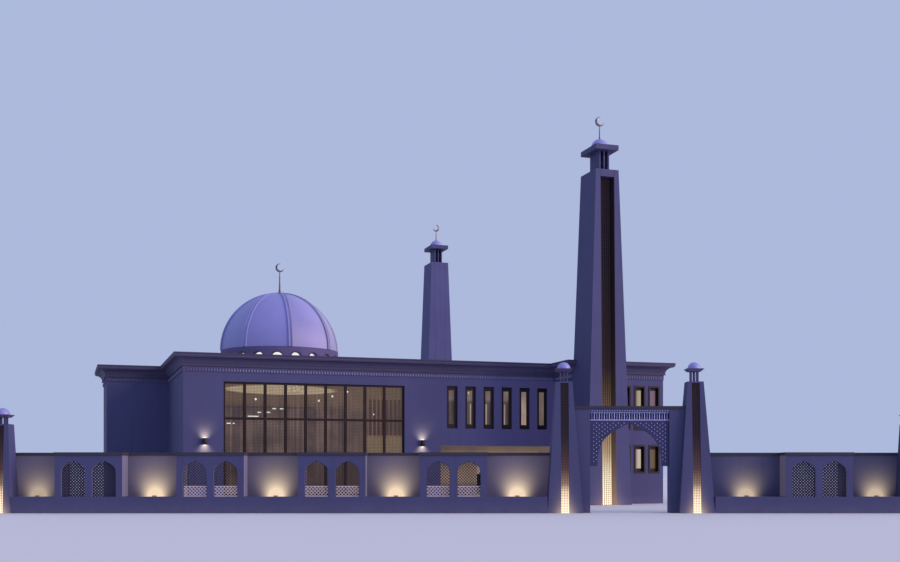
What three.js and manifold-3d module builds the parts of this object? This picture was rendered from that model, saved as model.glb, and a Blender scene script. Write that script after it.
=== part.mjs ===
// Mosque building with one dome, two minarets and a gated street wall, as a half-size model.
// All sizes below are real millimetres, and the exported group halves them.
// +X runs along the front from left to right, +Y points to the back and +Z is up.
// Plan places are measured from the left front corner of the prayer hall.

import * as THREE from 'three';
import { mergeVertices } from 'three/addons/utils/BufferGeometryUtils.js';
import Module from 'manifold-3d';

const MODEL_SCALE = 0.5;

// Gap between pieces that are cut to each other or stand in the turned street group
const FIT = 0.6;

// How far a cutting shape runs past a face, and how far joined shapes run into each other
const CUT_PAST = 100;
const OVERLAP = 1;

// Plan of the main building
const HALL_LENGTH = 16200;
const LINK_LENGTH = 8000;
const BLOCK_LENGTH = 6500;
const BUILDING_DEPTH = 25500;
const BLOCK_PROJECTION = 2800;
const MIHRAB_DEPTH = 4050;
const MIHRAB_WIDTH = 5500;
const PORCH_DEPTH = 3000;
const WALL = 350;

// Levels of the main building
const FLOOR_TOP = 150;
const SOFFIT = 3780;
const FIRST_FLOOR_TOP = 4080;
const WALL_TOP = 8200;
const ROOF_TOP = 8350;
const CORNICE_TOP = 9200;

// Windows and the porch doorway
const HALL_WINDOW = { left: 2390, right: 13790, sill: 600, head: 7540, bays: 9, transom: 5320 };
const HALL_FRAME = { mullion: 170, border: 120, depth: 150, setback: 100 };
const GLASS = 30;
const GLASS_LAP = 120;
const SLIM_WINDOW = { width: 740, sill: 4870, head: 7600, first: 16990, pitch: 1258, count: 6 };
const BLOCK_WINDOW = { width: 640, first: 27930, pitch: 1050, count: 3 };
const LOW_SILL = 2070;
const LOW_HEAD = 3740;
const SIDE_WINDOW = { width: 740, pitch: 2516, count: 10 };
const DOORWAY = { centre: 20950, width: 2400, head: 2700 };

// Cornice profile: reach beyond the wall face, and the heights of its members
const CORNICE = { reach: 600, fascia: 220, slant: 25, fillet: 50, cove: 430, bead: 70, band: 30 };
const BAND_BOTTOM = 8100;

// Dome and drum
const DOME_X = 8090;
const DOME_Y = 12750;
const DOME_RADIUS = 4200;
const DOME_SHELL = 250;
// How far each panel between two ribs is flattened: 0 is round in plan, 1 is straight
const PANEL_FLATNESS = 0.62;
const SPRING = 10750;
const DOME_SIDES = 40;
const DOME_STEPS = 9;
const DRUM_INNER = DOME_RADIUS - DOME_SHELL - 50;
const DRUM_GLASS_GAP = 20;
const DRUM_WINDOW = { count: 20, width: 740, sill: 9350, head: 10360, turn: -3.6 };
const RIB = { count: 8, width: 300, proud: 70, root: 200 };
const FINIAL = { foot: 130, neck: 75, tip: 30, height: 1560, crescent: 310, plate: 70 };

// Minarets, alike and mirrored front to back
const MINARET_X = 25400;
const MINARET_Y = -4240;
const MINARET = { baseWidth: 3060, baseDepth: 2870, topWidth: 1560, topDepth: 2230, top: 20950 };
const STRIP = { width: 930, head: 20500, recess: 740, plate: 60 };
const LANTERN = { width: 680, depth: 1360, height: 1250, slot: 200, wall: 95, sill: 100, cap: 310 };
const MINARET_DOME = { radius: 560, rise: 600, sides: 20, steps: 6 };
const MINARET_FINIAL = { foot: 80, neck: 50, tip: 28, height: 900, crescent: 300, plate: 60, sunk: 40 };
const CRESCENT = { opening: 0.62, lean: 36, shift: 0.28, seat: 0.85 };

// Street wall and gate, in a group turned about the gate's centre
const STREET_TURN = THREE.MathUtils.degToRad(-18.4);
const GATE_X = 19706;
const GATE_Y = -19712;
const PYLON_OFFSET = 3260;
const PYLON = { base: 1750, top: 800, height: 6530, strip: 400, recess: 120, posts: 510 };
const END_PYLON = { base: 1200, top: 800, height: 4410, strip: 400, recess: 120, posts: 330 };
const STRIP_HEAD = 80;
const POST = { span: 390, size: 60 };
const PYLON_CAP = { width: 870, underside: 600, height: 140 };
const PYLON_DOME = { radius: 330, rise: 340, sides: 20, steps: 5 };
const PORTAL = 1970;
const GATE_WALL = { front: 550, back: 1150, opening: 5010, top: 5170, coping: 140, lip: 50 };
const FINS = { bottom: 4600, top: 5010, rail: 40, pitch: 125, thick: 36, thin: 20, depth: 120, inset: 10 };
const ARCH_SCREEN = { bottom: 2320, apex: 4470, half: 1600, front: 640, depth: 120 };
const GATE_CURVE = { shoulder: 0.67, reach: 0.66, drop: 0.255 };
const STREET = { height: 2850, coping: 150, plinth: 810, wall: 300, reveal: 1100, lip: 50 };
const PANEL = { width: 3320, period: 6000, leftFirst: 7110, rightFirst: 7600 };
const PANEL_COUNT = { left: 4, right: 1 };
const ARCH = { width: 1180, offset: 760, spring: 2000, apex: 2590 };
const STREET_CURVE = { shoulder: 0.6, reach: 0.55, drop: 0.25 };
const LEFT_END = -31200;
const RIGHT_END = 13990;

const HALL_END = HALL_LENGTH;
const LINK_END = HALL_LENGTH + LINK_LENGTH;
const RIGHT_FACE = LINK_END + BLOCK_LENGTH;
const MIHRAB_FRONT = (BUILDING_DEPTH - MIHRAB_WIDTH) / 2;
const MIHRAB_BACK = (BUILDING_DEPTH + MIHRAB_WIDTH) / 2;

const wasm = await Module();
wasm.setup();

function finish(color, roughness, metalness = 0) {
  return new THREE.MeshStandardMaterial({ color, roughness, metalness });
}

const lilacRender = () => finish(0x5c5a92, 0.85);
const shadedRender = () => finish(0x4a4880, 0.88);
const darkCoping = () => finish(0x332f4c, 0.7);
const slabConcrete = () => finish(0x77748f, 0.9);
const bronze = () => finish(0x2c2024, 0.45, 0.6);
const warmGlass = () => finish(0xc9a878, 0.15);
const domePlaster = () => finish(0x8581c8, 0.6);
const paleFin = () => finish(0xa39bc4, 0.6);

// A closed triangle mesh as a solid that can be joined and cut
function solid(geometry) {
  const bare = geometry.clone();
  bare.deleteAttribute('normal');
  bare.deleteAttribute('uv');
  const merged = mergeVertices(bare, 0.01);
  const vertProperties = new Float32Array(merged.attributes.position.array);
  const triVerts = new Uint32Array(merged.index.array);
  return new wasm.Manifold(new wasm.Mesh({ numProp: 3, vertProperties, triVerts }));
}

function geometryOf(body) {
  const mesh = body.getMesh();
  const geometry = new THREE.BufferGeometry();
  geometry.setAttribute('position', new THREE.BufferAttribute(mesh.vertProperties, 3));
  geometry.setIndex(new THREE.BufferAttribute(mesh.triVerts, 1));
  geometry.computeVertexNormals();
  return geometry;
}

function joined(geometries) {
  return geometries.map(solid).reduce((all, next) => all.add(next));
}

function add(group, name, geometry, material) {
  const mesh = new THREE.Mesh(geometry, material);
  mesh.name = name;
  group.add(mesh);
  return mesh;
}

// A box between two opposite corners
function box(x0, x1, y0, y1, z0, z1) {
  const geometry = new THREE.BoxGeometry(x1 - x0, y1 - y0, z1 - z0);
  return geometry.translate((x0 + x1) / 2, (y0 + y1) / 2, (z0 + z1) / 2);
}

// A box on z0 whose top is smaller than its foot, centred on x and y
function taperedBox(x, y, z0, z1, foot, head) {
  const geometry = new THREE.BoxGeometry(foot.width, foot.depth, z1 - z0);
  const position = geometry.attributes.position;
  for (let i = 0; i < position.count; i += 1) {
    if (position.getZ(i) > 0) {
      position.setX(i, (position.getX(i) * head.width) / foot.width);
      position.setY(i, (position.getY(i) * head.depth) / foot.depth);
    }
  }
  return geometry.translate(x, y, (z0 + z1) / 2);
}

function outline(points) {
  return new THREE.Shape(points.map(([x, y]) => new THREE.Vector2(x, y)));
}

function rectangle(x0, x1, y0, y1) {
  return outline([[x0, y0], [x1, y0], [x1, y1], [x0, y1]]);
}

function extrude(shape, depth, curveSegments = 8) {
  return new THREE.ExtrudeGeometry(shape, { depth, bevelEnabled: false, curveSegments });
}

// An upright plate drawn in x and z, from y0 to y1
function frontPlate(shape, y0, y1, curveSegments) {
  return extrude(shape, y1 - y0, curveSegments).rotateX(Math.PI / 2).translate(0, y1, 0);
}

// An upright plate drawn in y and z, from x0 to x1
function sidePlate(shape, x0, x1, curveSegments) {
  const geometry = extrude(shape, x1 - x0, curveSegments);
  return geometry.rotateX(Math.PI / 2).rotateZ(Math.PI / 2).translate(x0, 0, 0);
}

function floorPlate(shape, z0, z1, curveSegments) {
  return extrude(shape, z1 - z0, curveSegments).translate(0, 0, z0);
}

// Opening with straight jambs and a pointed head, round at the shoulders
function pointedArch(centre, half, foot, spring, apex, curve) {
  const shape = new THREE.Shape();
  const rise = apex - spring;
  const shoulder = spring + rise * curve.shoulder;
  const brow = apex - rise * curve.drop;
  const reach = half * curve.reach;
  shape.moveTo(centre - half, foot);
  shape.lineTo(centre + half, foot);
  shape.lineTo(centre + half, spring);
  shape.bezierCurveTo(centre + half, shoulder, centre + reach, brow, centre, apex);
  shape.bezierCurveTo(centre - reach, brow, centre - half, shoulder, centre - half, spring);
  shape.closePath();
  return shape;
}

// A run of like windows along a wall, as left and right edges
function windowRow(first, pitch, count, width) {
  const rows = [];
  for (let i = 0; i < count; i += 1) {
    const centre = first + i * pitch;
    rows.push([centre - width / 2, centre + width / 2]);
  }
  return rows;
}

// A wall facing the front or back, with its rows of openings cut through
function frontWall(x0, x1, y0, y1, z0, z1, rows) {
  let body = solid(box(x0, x1, y0, y1, z0, z1));
  for (const { edges, sill, head } of rows) {
    for (const [left, right] of edges) {
      body = body.subtract(solid(box(left, right, y0 - OVERLAP, y1 + OVERLAP, sill, head)));
    }
  }
  return geometryOf(body);
}

// The same for a wall facing left or right
function sideWall(x0, x1, y0, y1, z0, z1, rows) {
  let body = solid(box(x0, x1, y0, y1, z0, z1));
  for (const { edges, sill, head } of rows) {
    for (const [near, far] of edges) {
      body = body.subtract(solid(box(x0 - OVERLAP, x1 + OVERLAP, near, far, sill, head)));
    }
  }
  return geometryOf(body);
}

// Mirrors a depth on the front of the building to the matching one on its back
function mirrored(y0, y1, atBack) {
  return atBack ? [BUILDING_DEPTH - y1, BUILDING_DEPTH - y0] : [y0, y1];
}

function glassSheet(group, name, edges, sill, head, y0, atBack) {
  const left = edges[0][0] - GLASS_LAP;
  const right = Math.min(edges[edges.length - 1][1] + GLASS_LAP, RIGHT_FACE - WALL);
  const top = Math.min(head + GLASS_LAP, head < SOFFIT ? SOFFIT : WALL_TOP);
  const [near, far] = mirrored(y0, y0 + GLASS, atBack);
  add(group, name, box(left, right, near, far, sill - GLASS_LAP, top), warmGlass());
}

// Prayer hall wall with its large window of nine bays
function hallWall(group, side, atBack) {
  const w = HALL_WINDOW;
  const [y0, y1] = mirrored(0, WALL, atBack);
  const opening = { edges: [[w.left, w.right]], sill: w.sill, head: w.head };
  add(group, `hall_${side}_wall`, frontWall(0, HALL_END, y0, y1, 0, WALL_TOP, [opening]), lilacRender());

  const upper = { edges: [], sill: w.transom + HALL_FRAME.border / 2, head: w.head - HALL_FRAME.border };
  const lower = { edges: [], sill: w.sill + HALL_FRAME.border, head: w.transom - HALL_FRAME.border / 2 };
  const clear = w.right - w.left - 2 * HALL_FRAME.border - (w.bays - 1) * HALL_FRAME.mullion;
  const pane = clear / w.bays;
  for (let i = 0; i < w.bays; i += 1) {
    const left = w.left + HALL_FRAME.border + i * (pane + HALL_FRAME.mullion);
    upper.edges.push([left, left + pane]);
    lower.edges.push([left, left + pane]);
  }
  const behind = HALL_FRAME.setback + HALL_FRAME.depth;
  const [f0, f1] = mirrored(HALL_FRAME.setback, behind, atBack);
  const frame = frontWall(w.left, w.right, f0, f1, w.sill, w.head, [upper, lower]);
  add(group, `hall_${side}_window`, frame, bronze());
  const [g0, g1] = mirrored(behind, behind + GLASS, atBack);
  add(group, `hall_${side}_glass`, box(w.left, w.right, g0, g1, w.sill, w.head), warmGlass());
}

// Link between hall and block: six slim windows above an open porch at the front
function link(group) {
  const edges = windowRow(SLIM_WINDOW.first, SLIM_WINDOW.pitch, SLIM_WINDOW.count, SLIM_WINDOW.width);
  const upper = { edges, sill: SLIM_WINDOW.sill, head: SLIM_WINDOW.head };
  const lower = { edges, sill: LOW_SILL, head: LOW_HEAD };
  const back = BUILDING_DEPTH - WALL;
  add(group, 'link_front_wall', frontWall(HALL_END, LINK_END, 0, WALL, SOFFIT, WALL_TOP, [upper]),
    lilacRender());
  glassSheet(group, 'link_front_glass', edges, upper.sill, upper.head, WALL, false);
  add(group, 'link_back_wall',
    frontWall(HALL_END, LINK_END, back, BUILDING_DEPTH, 0, WALL_TOP, [upper, lower]), lilacRender());
  glassSheet(group, 'link_back_upper_glass', edges, upper.sill, upper.head, WALL, true);
  glassSheet(group, 'link_back_lower_glass', edges, lower.sill, lower.head, WALL, true);

  const inner = PORCH_DEPTH + WALL;
  const half = DOORWAY.width / 2;
  const doorEdges = [[DOORWAY.centre - half, DOORWAY.centre + half]];
  const door = { edges: doorEdges, sill: FLOOR_TOP, head: DOORWAY.head };
  add(group, 'porch_back_wall', frontWall(HALL_END, LINK_END, PORCH_DEPTH, inner, 0, SOFFIT, [door]),
    lilacRender());
  add(group, 'porch_left_wall', box(HALL_END - WALL, HALL_END, WALL, inner, 0, SOFFIT), lilacRender());
}

// Projecting block at the right, with three columns of windows on two storeys
function blockEnd(group, side, atBack) {
  const edges = windowRow(BLOCK_WINDOW.first, BLOCK_WINDOW.pitch, BLOCK_WINDOW.count, BLOCK_WINDOW.width);
  const upper = { edges, sill: SLIM_WINDOW.sill, head: SLIM_WINDOW.head };
  const lower = { edges, sill: LOW_SILL, head: LOW_HEAD };
  const [y0, y1] = mirrored(-BLOCK_PROJECTION, WALL - BLOCK_PROJECTION, atBack);
  add(group, `block_${side}_wall`, frontWall(LINK_END, RIGHT_FACE, y0, y1, 0, WALL_TOP, [upper, lower]),
    lilacRender());
  const inside = WALL - BLOCK_PROJECTION;
  glassSheet(group, `block_${side}_upper_glass`, edges, upper.sill, upper.head, inside, atBack);
  glassSheet(group, `block_${side}_lower_glass`, edges, lower.sill, lower.head, inside, atBack);
}

// The block's short walls towards the hall: the front one runs back beside the porch at ground level
function blockReturns(group) {
  const front = WALL - BLOCK_PROJECTION;
  const porch = PORCH_DEPTH + WALL;
  const side = outline([[front, 0], [porch, 0], [porch, SOFFIT], [WALL, SOFFIT], [WALL, WALL_TOP],
    [front, WALL_TOP]]);
  add(group, 'block_front_left_wall', sidePlate(side, LINK_END, LINK_END + WALL), shadedRender());
  const [y0, y1] = mirrored(front, WALL, true);
  add(group, 'block_back_left_wall', box(LINK_END, LINK_END + WALL, y0, y1, 0, WALL_TOP), shadedRender());
}

// Long right wall, with both storeys of windows along it
function rightWall(group) {
  const first = BUILDING_DEPTH / 2 - ((SIDE_WINDOW.count - 1) * SIDE_WINDOW.pitch) / 2;
  const edges = windowRow(first, SIDE_WINDOW.pitch, SIDE_WINDOW.count, SIDE_WINDOW.width);
  const storeys = [
    { storey: 'upper', sill: SLIM_WINDOW.sill, head: SLIM_WINDOW.head },
    { storey: 'lower', sill: LOW_SILL, head: LOW_HEAD },
  ];
  const y0 = WALL - BLOCK_PROJECTION;
  const y1 = BUILDING_DEPTH - y0;
  const rows = storeys.map(({ sill, head }) => ({ edges, sill, head }));
  const right = sideWall(RIGHT_FACE - WALL, RIGHT_FACE, y0, y1, 0, WALL_TOP, rows);
  add(group, 'right_wall', right, lilacRender());
  for (const { storey, sill, head } of storeys) {
    const top = storey === 'lower' ? SOFFIT : head + GLASS_LAP;
    const inner = RIGHT_FACE - WALL;
    const near = edges[0][0] - GLASS_LAP;
    const far = edges[edges.length - 1][1] + GLASS_LAP;
    add(group, `right_${storey}_glass`, box(inner - GLASS, inner, near, far, sill - GLASS_LAP, top),
      warmGlass());
  }
}

// Left walls of the hall and the plain mihrab block between them
function leftWalls(group) {
  add(group, 'left_front_wall', box(0, WALL, WALL, MIHRAB_FRONT, 0, WALL_TOP), shadedRender());
  add(group, 'left_back_wall', box(0, WALL, MIHRAB_BACK, BUILDING_DEPTH - WALL, 0, WALL_TOP),
    shadedRender());
  add(group, 'mihrab_front_wall', box(-MIHRAB_DEPTH, WALL, MIHRAB_FRONT, MIHRAB_FRONT + WALL, 0, WALL_TOP),
    shadedRender());
  add(group, 'mihrab_back_wall', box(-MIHRAB_DEPTH, WALL, MIHRAB_BACK - WALL, MIHRAB_BACK, 0, WALL_TOP),
    shadedRender());
  add(group, 'mihrab_left_wall',
    box(-MIHRAB_DEPTH, WALL - MIHRAB_DEPTH, MIHRAB_FRONT + WALL, MIHRAB_BACK - WALL, 0, WALL_TOP),
    shadedRender());
}

// Corners of the roof edge, counter-clockwise seen from above
function roofCorners() {
  const far = BUILDING_DEPTH + BLOCK_PROJECTION;
  return [
    [0, 0], [LINK_END, 0], [LINK_END, -BLOCK_PROJECTION], [RIGHT_FACE, -BLOCK_PROJECTION],
    [RIGHT_FACE, far], [LINK_END, far], [LINK_END, BUILDING_DEPTH], [0, BUILDING_DEPTH],
    [0, MIHRAB_BACK], [-MIHRAB_DEPTH, MIHRAB_BACK], [-MIHRAB_DEPTH, MIHRAB_FRONT], [0, MIHRAB_FRONT],
  ];
}

function floors(group) {
  const w = WALL;
  const blockLeft = LINK_END + w;
  const right = RIGHT_FACE - w;
  const frontEnd = w - BLOCK_PROJECTION;
  const backEnd = BUILDING_DEPTH - frontEnd;
  const back = BUILDING_DEPTH - w;
  const porch = PORCH_DEPTH + w;
  const ground = outline([
    [w, w], [HALL_END - w, w], [HALL_END - w, porch], [blockLeft, porch], [blockLeft, frontEnd],
    [right, frontEnd], [right, backEnd], [blockLeft, backEnd], [blockLeft, back], [w, back],
    [w, MIHRAB_BACK - w], [w - MIHRAB_DEPTH, MIHRAB_BACK - w], [w - MIHRAB_DEPTH, MIHRAB_FRONT + w],
    [w, MIHRAB_FRONT + w],
  ]);
  add(group, 'ground_floor', floorPlate(ground, 0, FLOOR_TOP), slabConcrete());

  const edge = HALL_END - w;
  const first = outline([
    [edge, w], [blockLeft, w], [blockLeft, frontEnd], [right, frontEnd], [right, backEnd],
    [blockLeft, backEnd], [blockLeft, back], [edge, back],
  ]);
  add(group, 'first_floor', floorPlate(first, SOFFIT, FIRST_FLOOR_TOP), slabConcrete());

  const roof = outline(roofCorners());
  const well = new THREE.Path();
  well.absarc(DOME_X, DOME_Y, DRUM_INNER, 0, Math.PI * 2, true);
  roof.holes.push(well);
  add(group, 'roof_slab', floorPlate(roof, WALL_TOP, ROOF_TOP, 16), slabConcrete());
}

// A profile of reach and height pairs, swept round a square-cornered plan with mitred corners
function mitredRing(corners, profile) {
  const positions = [];
  const count = corners.length;
  const rows = profile.length;
  for (let i = 0; i < count; i += 1) {
    const [x, y] = corners[i];
    const [px, py] = corners[(i + count - 1) % count];
    const [nx, ny] = corners[(i + 1) % count];
    const outX = Math.sign(y - py) + Math.sign(ny - y);
    const outY = -Math.sign(x - px) - Math.sign(nx - x);
    for (const [reach, z] of profile) {
      positions.push(x + outX * reach, y + outY * reach, z);
    }
  }
  const index = [];
  for (let i = 0; i < count; i += 1) {
    const next = (i + 1) % count;
    for (let j = 0; j < rows; j += 1) {
      const up = (j + 1) % rows;
      const a = i * rows + j;
      const b = i * rows + up;
      const c = next * rows + up;
      const d = next * rows + j;
      index.push(a, d, b, b, d, c);
    }
  }
  const geometry = new THREE.BufferGeometry();
  geometry.setAttribute('position', new THREE.Float32BufferAttribute(positions, 3));
  geometry.setIndex(index);
  return geometry;
}

function corniceProfile() {
  const c = CORNICE;
  const fasciaBottom = CORNICE_TOP - c.fascia;
  const coveTop = fasciaBottom - c.fillet;
  const coveCentre = c.reach - c.slant - c.fillet;
  const points = [[FIT, BAND_BOTTOM], [c.band, BAND_BOTTOM]];
  const coveBottom = coveTop - c.cove;
  const beadReach = coveCentre - c.cove + c.band;
  points.push([c.band, coveBottom - c.bead], [beadReach, coveBottom - c.bead], [beadReach, coveBottom]);
  const steps = 6;
  for (let i = 0; i <= steps; i += 1) {
    const angle = Math.PI - (i / steps) * (Math.PI / 2);
    points.push([coveCentre + c.cove * Math.cos(angle), coveBottom + c.cove * Math.sin(angle)]);
  }
  points.push([coveCentre, fasciaBottom], [c.reach - c.slant, fasciaBottom], [c.reach, CORNICE_TOP]);
  points.push([-WALL, CORNICE_TOP], [-WALL, ROOF_TOP + FIT], [FIT, ROOF_TOP + FIT]);
  return points;
}

function cornice(group) {
  const ring = solid(mitredRing(roofCorners(), corniceProfile()));
  const grow = 2 * FIT;
  const front = solid(minaretEnvelope(MINARET_Y, grow));
  const back = solid(minaretEnvelope(BUILDING_DEPTH - MINARET_Y, grow));
  add(group, 'cornice', geometryOf(ring.subtract(front).subtract(back)), shadedRender());
}

// Drum with twenty round-headed windows, and the glass ring inside them
function drum(group) {
  const ring = [
    [DRUM_INNER, ROOF_TOP], [DOME_RADIUS, ROOF_TOP], [DOME_RADIUS, SPRING], [DRUM_INNER, SPRING],
  ];
  let body = solid(lathe(ring).translate(DOME_X, DOME_Y, 0));
  const half = DRUM_WINDOW.width / 2;
  for (let i = 0; i < DRUM_WINDOW.count; i += 1) {
    const shape = new THREE.Shape();
    shape.moveTo(-half, DRUM_WINDOW.sill);
    shape.lineTo(half, DRUM_WINDOW.sill);
    shape.absarc(0, DRUM_WINDOW.head - half, half, 0, Math.PI);
    const cut = frontPlate(shape, -DOME_RADIUS - CUT_PAST, CUT_PAST - DRUM_INNER, 5);
    const turn = ((i + 0.5) * Math.PI * 2) / DRUM_WINDOW.count + (DRUM_WINDOW.turn * Math.PI) / 180;
    cut.rotateZ(turn).translate(DOME_X, DOME_Y, 0);
    body = body.subtract(solid(cut));
  }
  add(group, 'drum', geometryOf(body), shadedRender());
  const out = DRUM_INNER - DRUM_GLASS_GAP;
  const sheet = [[out - GLASS, ROOF_TOP + FIT], [out, ROOF_TOP + FIT], [out, SPRING - FIT],
    [out - GLASS, SPRING - FIT]];
  add(group, 'drum_glass', lathe(sheet).translate(DOME_X, DOME_Y, 0), warmGlass());
}

// A closed profile of radius and height pairs turned about the upright axis
function lathe(points, sides = DOME_SIDES) {
  const profile = points.map(([r, z]) => new THREE.Vector2(r, z));
  profile.push(profile[0].clone());
  return new THREE.LatheGeometry(profile, sides).rotateX(Math.PI / 2);
}

function arcPoints(radius, rise, steps, lift = 0) {
  const points = [];
  for (let i = 0; i <= steps; i += 1) {
    const angle = (i / steps) * (Math.PI / 2);
    points.push([i === steps ? 0 : radius * Math.cos(angle), lift + rise * Math.sin(angle)]);
  }
  return points;
}

// Draws a turned form in between the ribs, so that it has eight flatter panels
function panelled(geometry) {
  const step = (Math.PI * 2) / RIB.count;
  const points = geometry.getAttribute('position');
  for (let i = 0; i < points.count; i += 1) {
    const x = points.getX(i);
    const y = points.getY(i);
    const turn = Math.atan2(y, x) / step;
    const local = (turn - Math.floor(turn + 1e-6) - 0.5) * step;
    const chord = Math.cos(step / 2) / Math.cos(local);
    const scale = 1 + PANEL_FLATNESS * (chord - 1);
    points.setX(i, x * scale);
    points.setY(i, y * scale);
  }
  return geometry;
}

function domeShell(group) {
  const outer = arcPoints(DOME_RADIUS, DOME_RADIUS, DOME_STEPS, SPRING + FIT);
  const innerRadius = DOME_RADIUS - DOME_SHELL;
  const inner = arcPoints(innerRadius, innerRadius, DOME_STEPS, SPRING + FIT).reverse();
  const shell = panelled(lathe([...outer, ...inner])).translate(DOME_X, DOME_Y, 0);
  add(group, 'dome', shell, domePlaster());
}

// Eight raised ribs that meet at the crown, cut to the dome's own facets
function domeRibs(group) {
  const high = DOME_RADIUS + RIB.proud;
  const half = RIB.width / 2;
  const arc = new THREE.Shape();
  arc.absarc(0, 0, high, 0, Math.PI);
  arc.absarc(0, 0, DOME_RADIUS - RIB.root, Math.PI, 0, true);
  const hoops = [];
  for (let i = 0; i < RIB.count / 2; i += 1) {
    hoops.push(frontPlate(arc, -half, half, 2 * DOME_STEPS).rotateZ((i * Math.PI * 2) / RIB.count));
  }
  const filled = [[0, 0], ...arcPoints(DOME_RADIUS + FIT, DOME_RADIUS + FIT, DOME_STEPS)];
  const ribs = joined(hoops).subtract(solid(panelled(lathe(filled))));
  const place = geometryOf(ribs).translate(DOME_X, DOME_Y, SPRING + FIT);
  add(group, 'dome_ribs', place, domePlaster());
}

// Tapered rod with a crescent that opens to the upper right
function finial(size, z) {
  const top = z + size.height;
  const rod = [[0, z], [size.foot, z], [size.neck, z + size.foot], [size.tip, top], [0, top]];
  const crescent = new THREE.Shape();
  const r = size.crescent;
  const open = CRESCENT.opening;
  const lean = THREE.MathUtils.degToRad(CRESCENT.lean);
  crescent.absarc(0, 0, r, lean + open, lean - open + Math.PI * 2);
  const tip = new THREE.Vector2(Math.cos(lean - open), Math.sin(lean - open)).multiplyScalar(r);
  const shift = new THREE.Vector2(Math.cos(lean), Math.sin(lean)).multiplyScalar(r * CRESCENT.shift);
  const innerRadius = tip.distanceTo(shift);
  const start = Math.atan2(tip.y - shift.y, tip.x - shift.x);
  const end = 2 * lean - start;
  crescent.absarc(shift.x, shift.y, innerRadius, start, end, true);
  const half = size.plate / 2;
  const moon = frontPlate(crescent, -half, half, 16).translate(0, 0, top + r * CRESCENT.seat);
  return joined([lathe(rod, 10), moon]);
}

function minaretEnvelope(y, grow) {
  const m = MINARET;
  const foot = { width: m.baseWidth + grow, depth: m.baseDepth + grow };
  const head = { width: m.topWidth + grow, depth: m.topDepth + grow };
  return taperedBox(MINARET_X, y, 0, m.top, foot, head);
}

// One minaret standing at its own origin, with its lattice strip towards the street
function minaret(side) {
  const m = MINARET;
  const group = new THREE.Group();
  const foot = { width: m.baseWidth, depth: m.baseDepth };
  const head = { width: m.topWidth, depth: m.topDepth };
  const faceAt = (z) => -m.baseDepth / 2 + ((m.baseDepth - m.topDepth) / 2) * (z / m.top);
  const half = STRIP.width / 2;
  const away = -m.baseDepth;
  const slot = outline([[away, -OVERLAP], [faceAt(0) + STRIP.recess, -OVERLAP],
    [faceAt(STRIP.head) + STRIP.recess, STRIP.head], [away, STRIP.head]]);
  const shaft = solid(taperedBox(0, 0, 0, m.top, foot, head)).subtract(solid(sidePlate(slot, -half, half)));
  add(group, `minaret_${side}_shaft`, geometryOf(shaft), lilacRender());

  const near = STRIP.recess - STRIP.plate - FIT;
  const far = STRIP.recess - FIT;
  const top = STRIP.head - FIT;
  const plate = outline([[faceAt(0) + near, 0], [faceAt(0) + far, 0], [faceAt(top) + far, top],
    [faceAt(top) + near, top]]);
  add(group, `minaret_${side}_screen`, sidePlate(plate, FIT - half, half - FIT), bronze());

  const seat = m.top + FIT;
  const capBottom = seat + LANTERN.height;
  const capTop = capBottom + LANTERN.cap;
  const [wide, deep, slotHalf] = [LANTERN.width / 2, LANTERN.depth / 2, LANTERN.slot / 2];
  let lantern = solid(box(-wide, wide, -deep, deep, seat, capBottom + OVERLAP));
  const shift = wide - LANTERN.wall - slotHalf;
  const slotFoot = seat + LANTERN.sill;
  for (const x of [-shift, shift]) {
    const through = box(x - slotHalf, x + slotHalf, -LANTERN.depth, LANTERN.depth, slotFoot, capBottom);
    lantern = lantern.subtract(solid(through));
  }
  const slab = box(-m.topWidth / 2, m.topWidth / 2, -m.topDepth / 2, m.topDepth / 2, capBottom, capTop);
  lantern = lantern.add(solid(slab));
  add(group, `minaret_${side}_lantern`, geometryOf(lantern), shadedRender());

  const domeFoot = capTop + FIT;
  const { radius, rise, sides, steps } = MINARET_DOME;
  const dome = [[0, domeFoot], ...arcPoints(radius, rise, steps, domeFoot)];
  const rodFoot = domeFoot + rise - MINARET_FINIAL.sunk;
  const body = solid(lathe(dome, sides)).add(finial(MINARET_FINIAL, rodFoot));
  add(group, `minaret_${side}_finial`, geometryOf(body), domePlaster());
  return group;
}

function pylonFrustum(p, x, grow) {
  const foot = { width: p.base + grow, depth: p.base + grow };
  const head = { width: p.top + grow, depth: p.top + grow };
  return taperedBox(x, p.base / 2, 0, p.height, foot, head);
}

// Tapered pylon with a recessed strip, open lantern, square cap and small dome
function pylon(p, x) {
  const middle = p.base / 2;
  const lean = (p.base - p.top) / 2 / p.height;
  const stripHead = p.height - STRIP_HEAD;
  const slot = outline([[-p.base, -OVERLAP], [p.recess, -OVERLAP],
    [p.recess + lean * stripHead, stripHead], [-p.base, stripHead]]);
  const cut = solid(sidePlate(slot, x - p.strip / 2, x + p.strip / 2));
  let body = solid(pylonFrustum(p, x, 0)).subtract(cut);
  const capBottom = p.height + p.posts;
  const reach = (POST.span - POST.size) / 2;
  const post = POST.size / 2;
  for (const dx of [-reach, 0, reach]) {
    for (const dy of [-reach, 0, reach]) {
      if (dx !== 0 || dy !== 0) {
        const px = x + dx;
        const py = middle + dy;
        const [foot, head] = [p.height - OVERLAP, capBottom + OVERLAP];
        body = body.add(solid(box(px - post, px + post, py - post, py + post, foot, head)));
      }
    }
  }
  const capTop = capBottom + PYLON_CAP.height;
  const under = { width: PYLON_CAP.underside, depth: PYLON_CAP.underside };
  const over = { width: PYLON_CAP.width, depth: PYLON_CAP.width };
  const plate = taperedBox(x, middle, capBottom, capTop, under, over);
  const domeFoot = capTop - OVERLAP;
  const { radius, rise, sides, steps } = PYLON_DOME;
  const dome = lathe([[0, domeFoot], ...arcPoints(radius, rise, steps, domeFoot)], sides);
  return body.add(solid(plate)).add(solid(dome.translate(x, middle, 0)));
}

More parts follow.
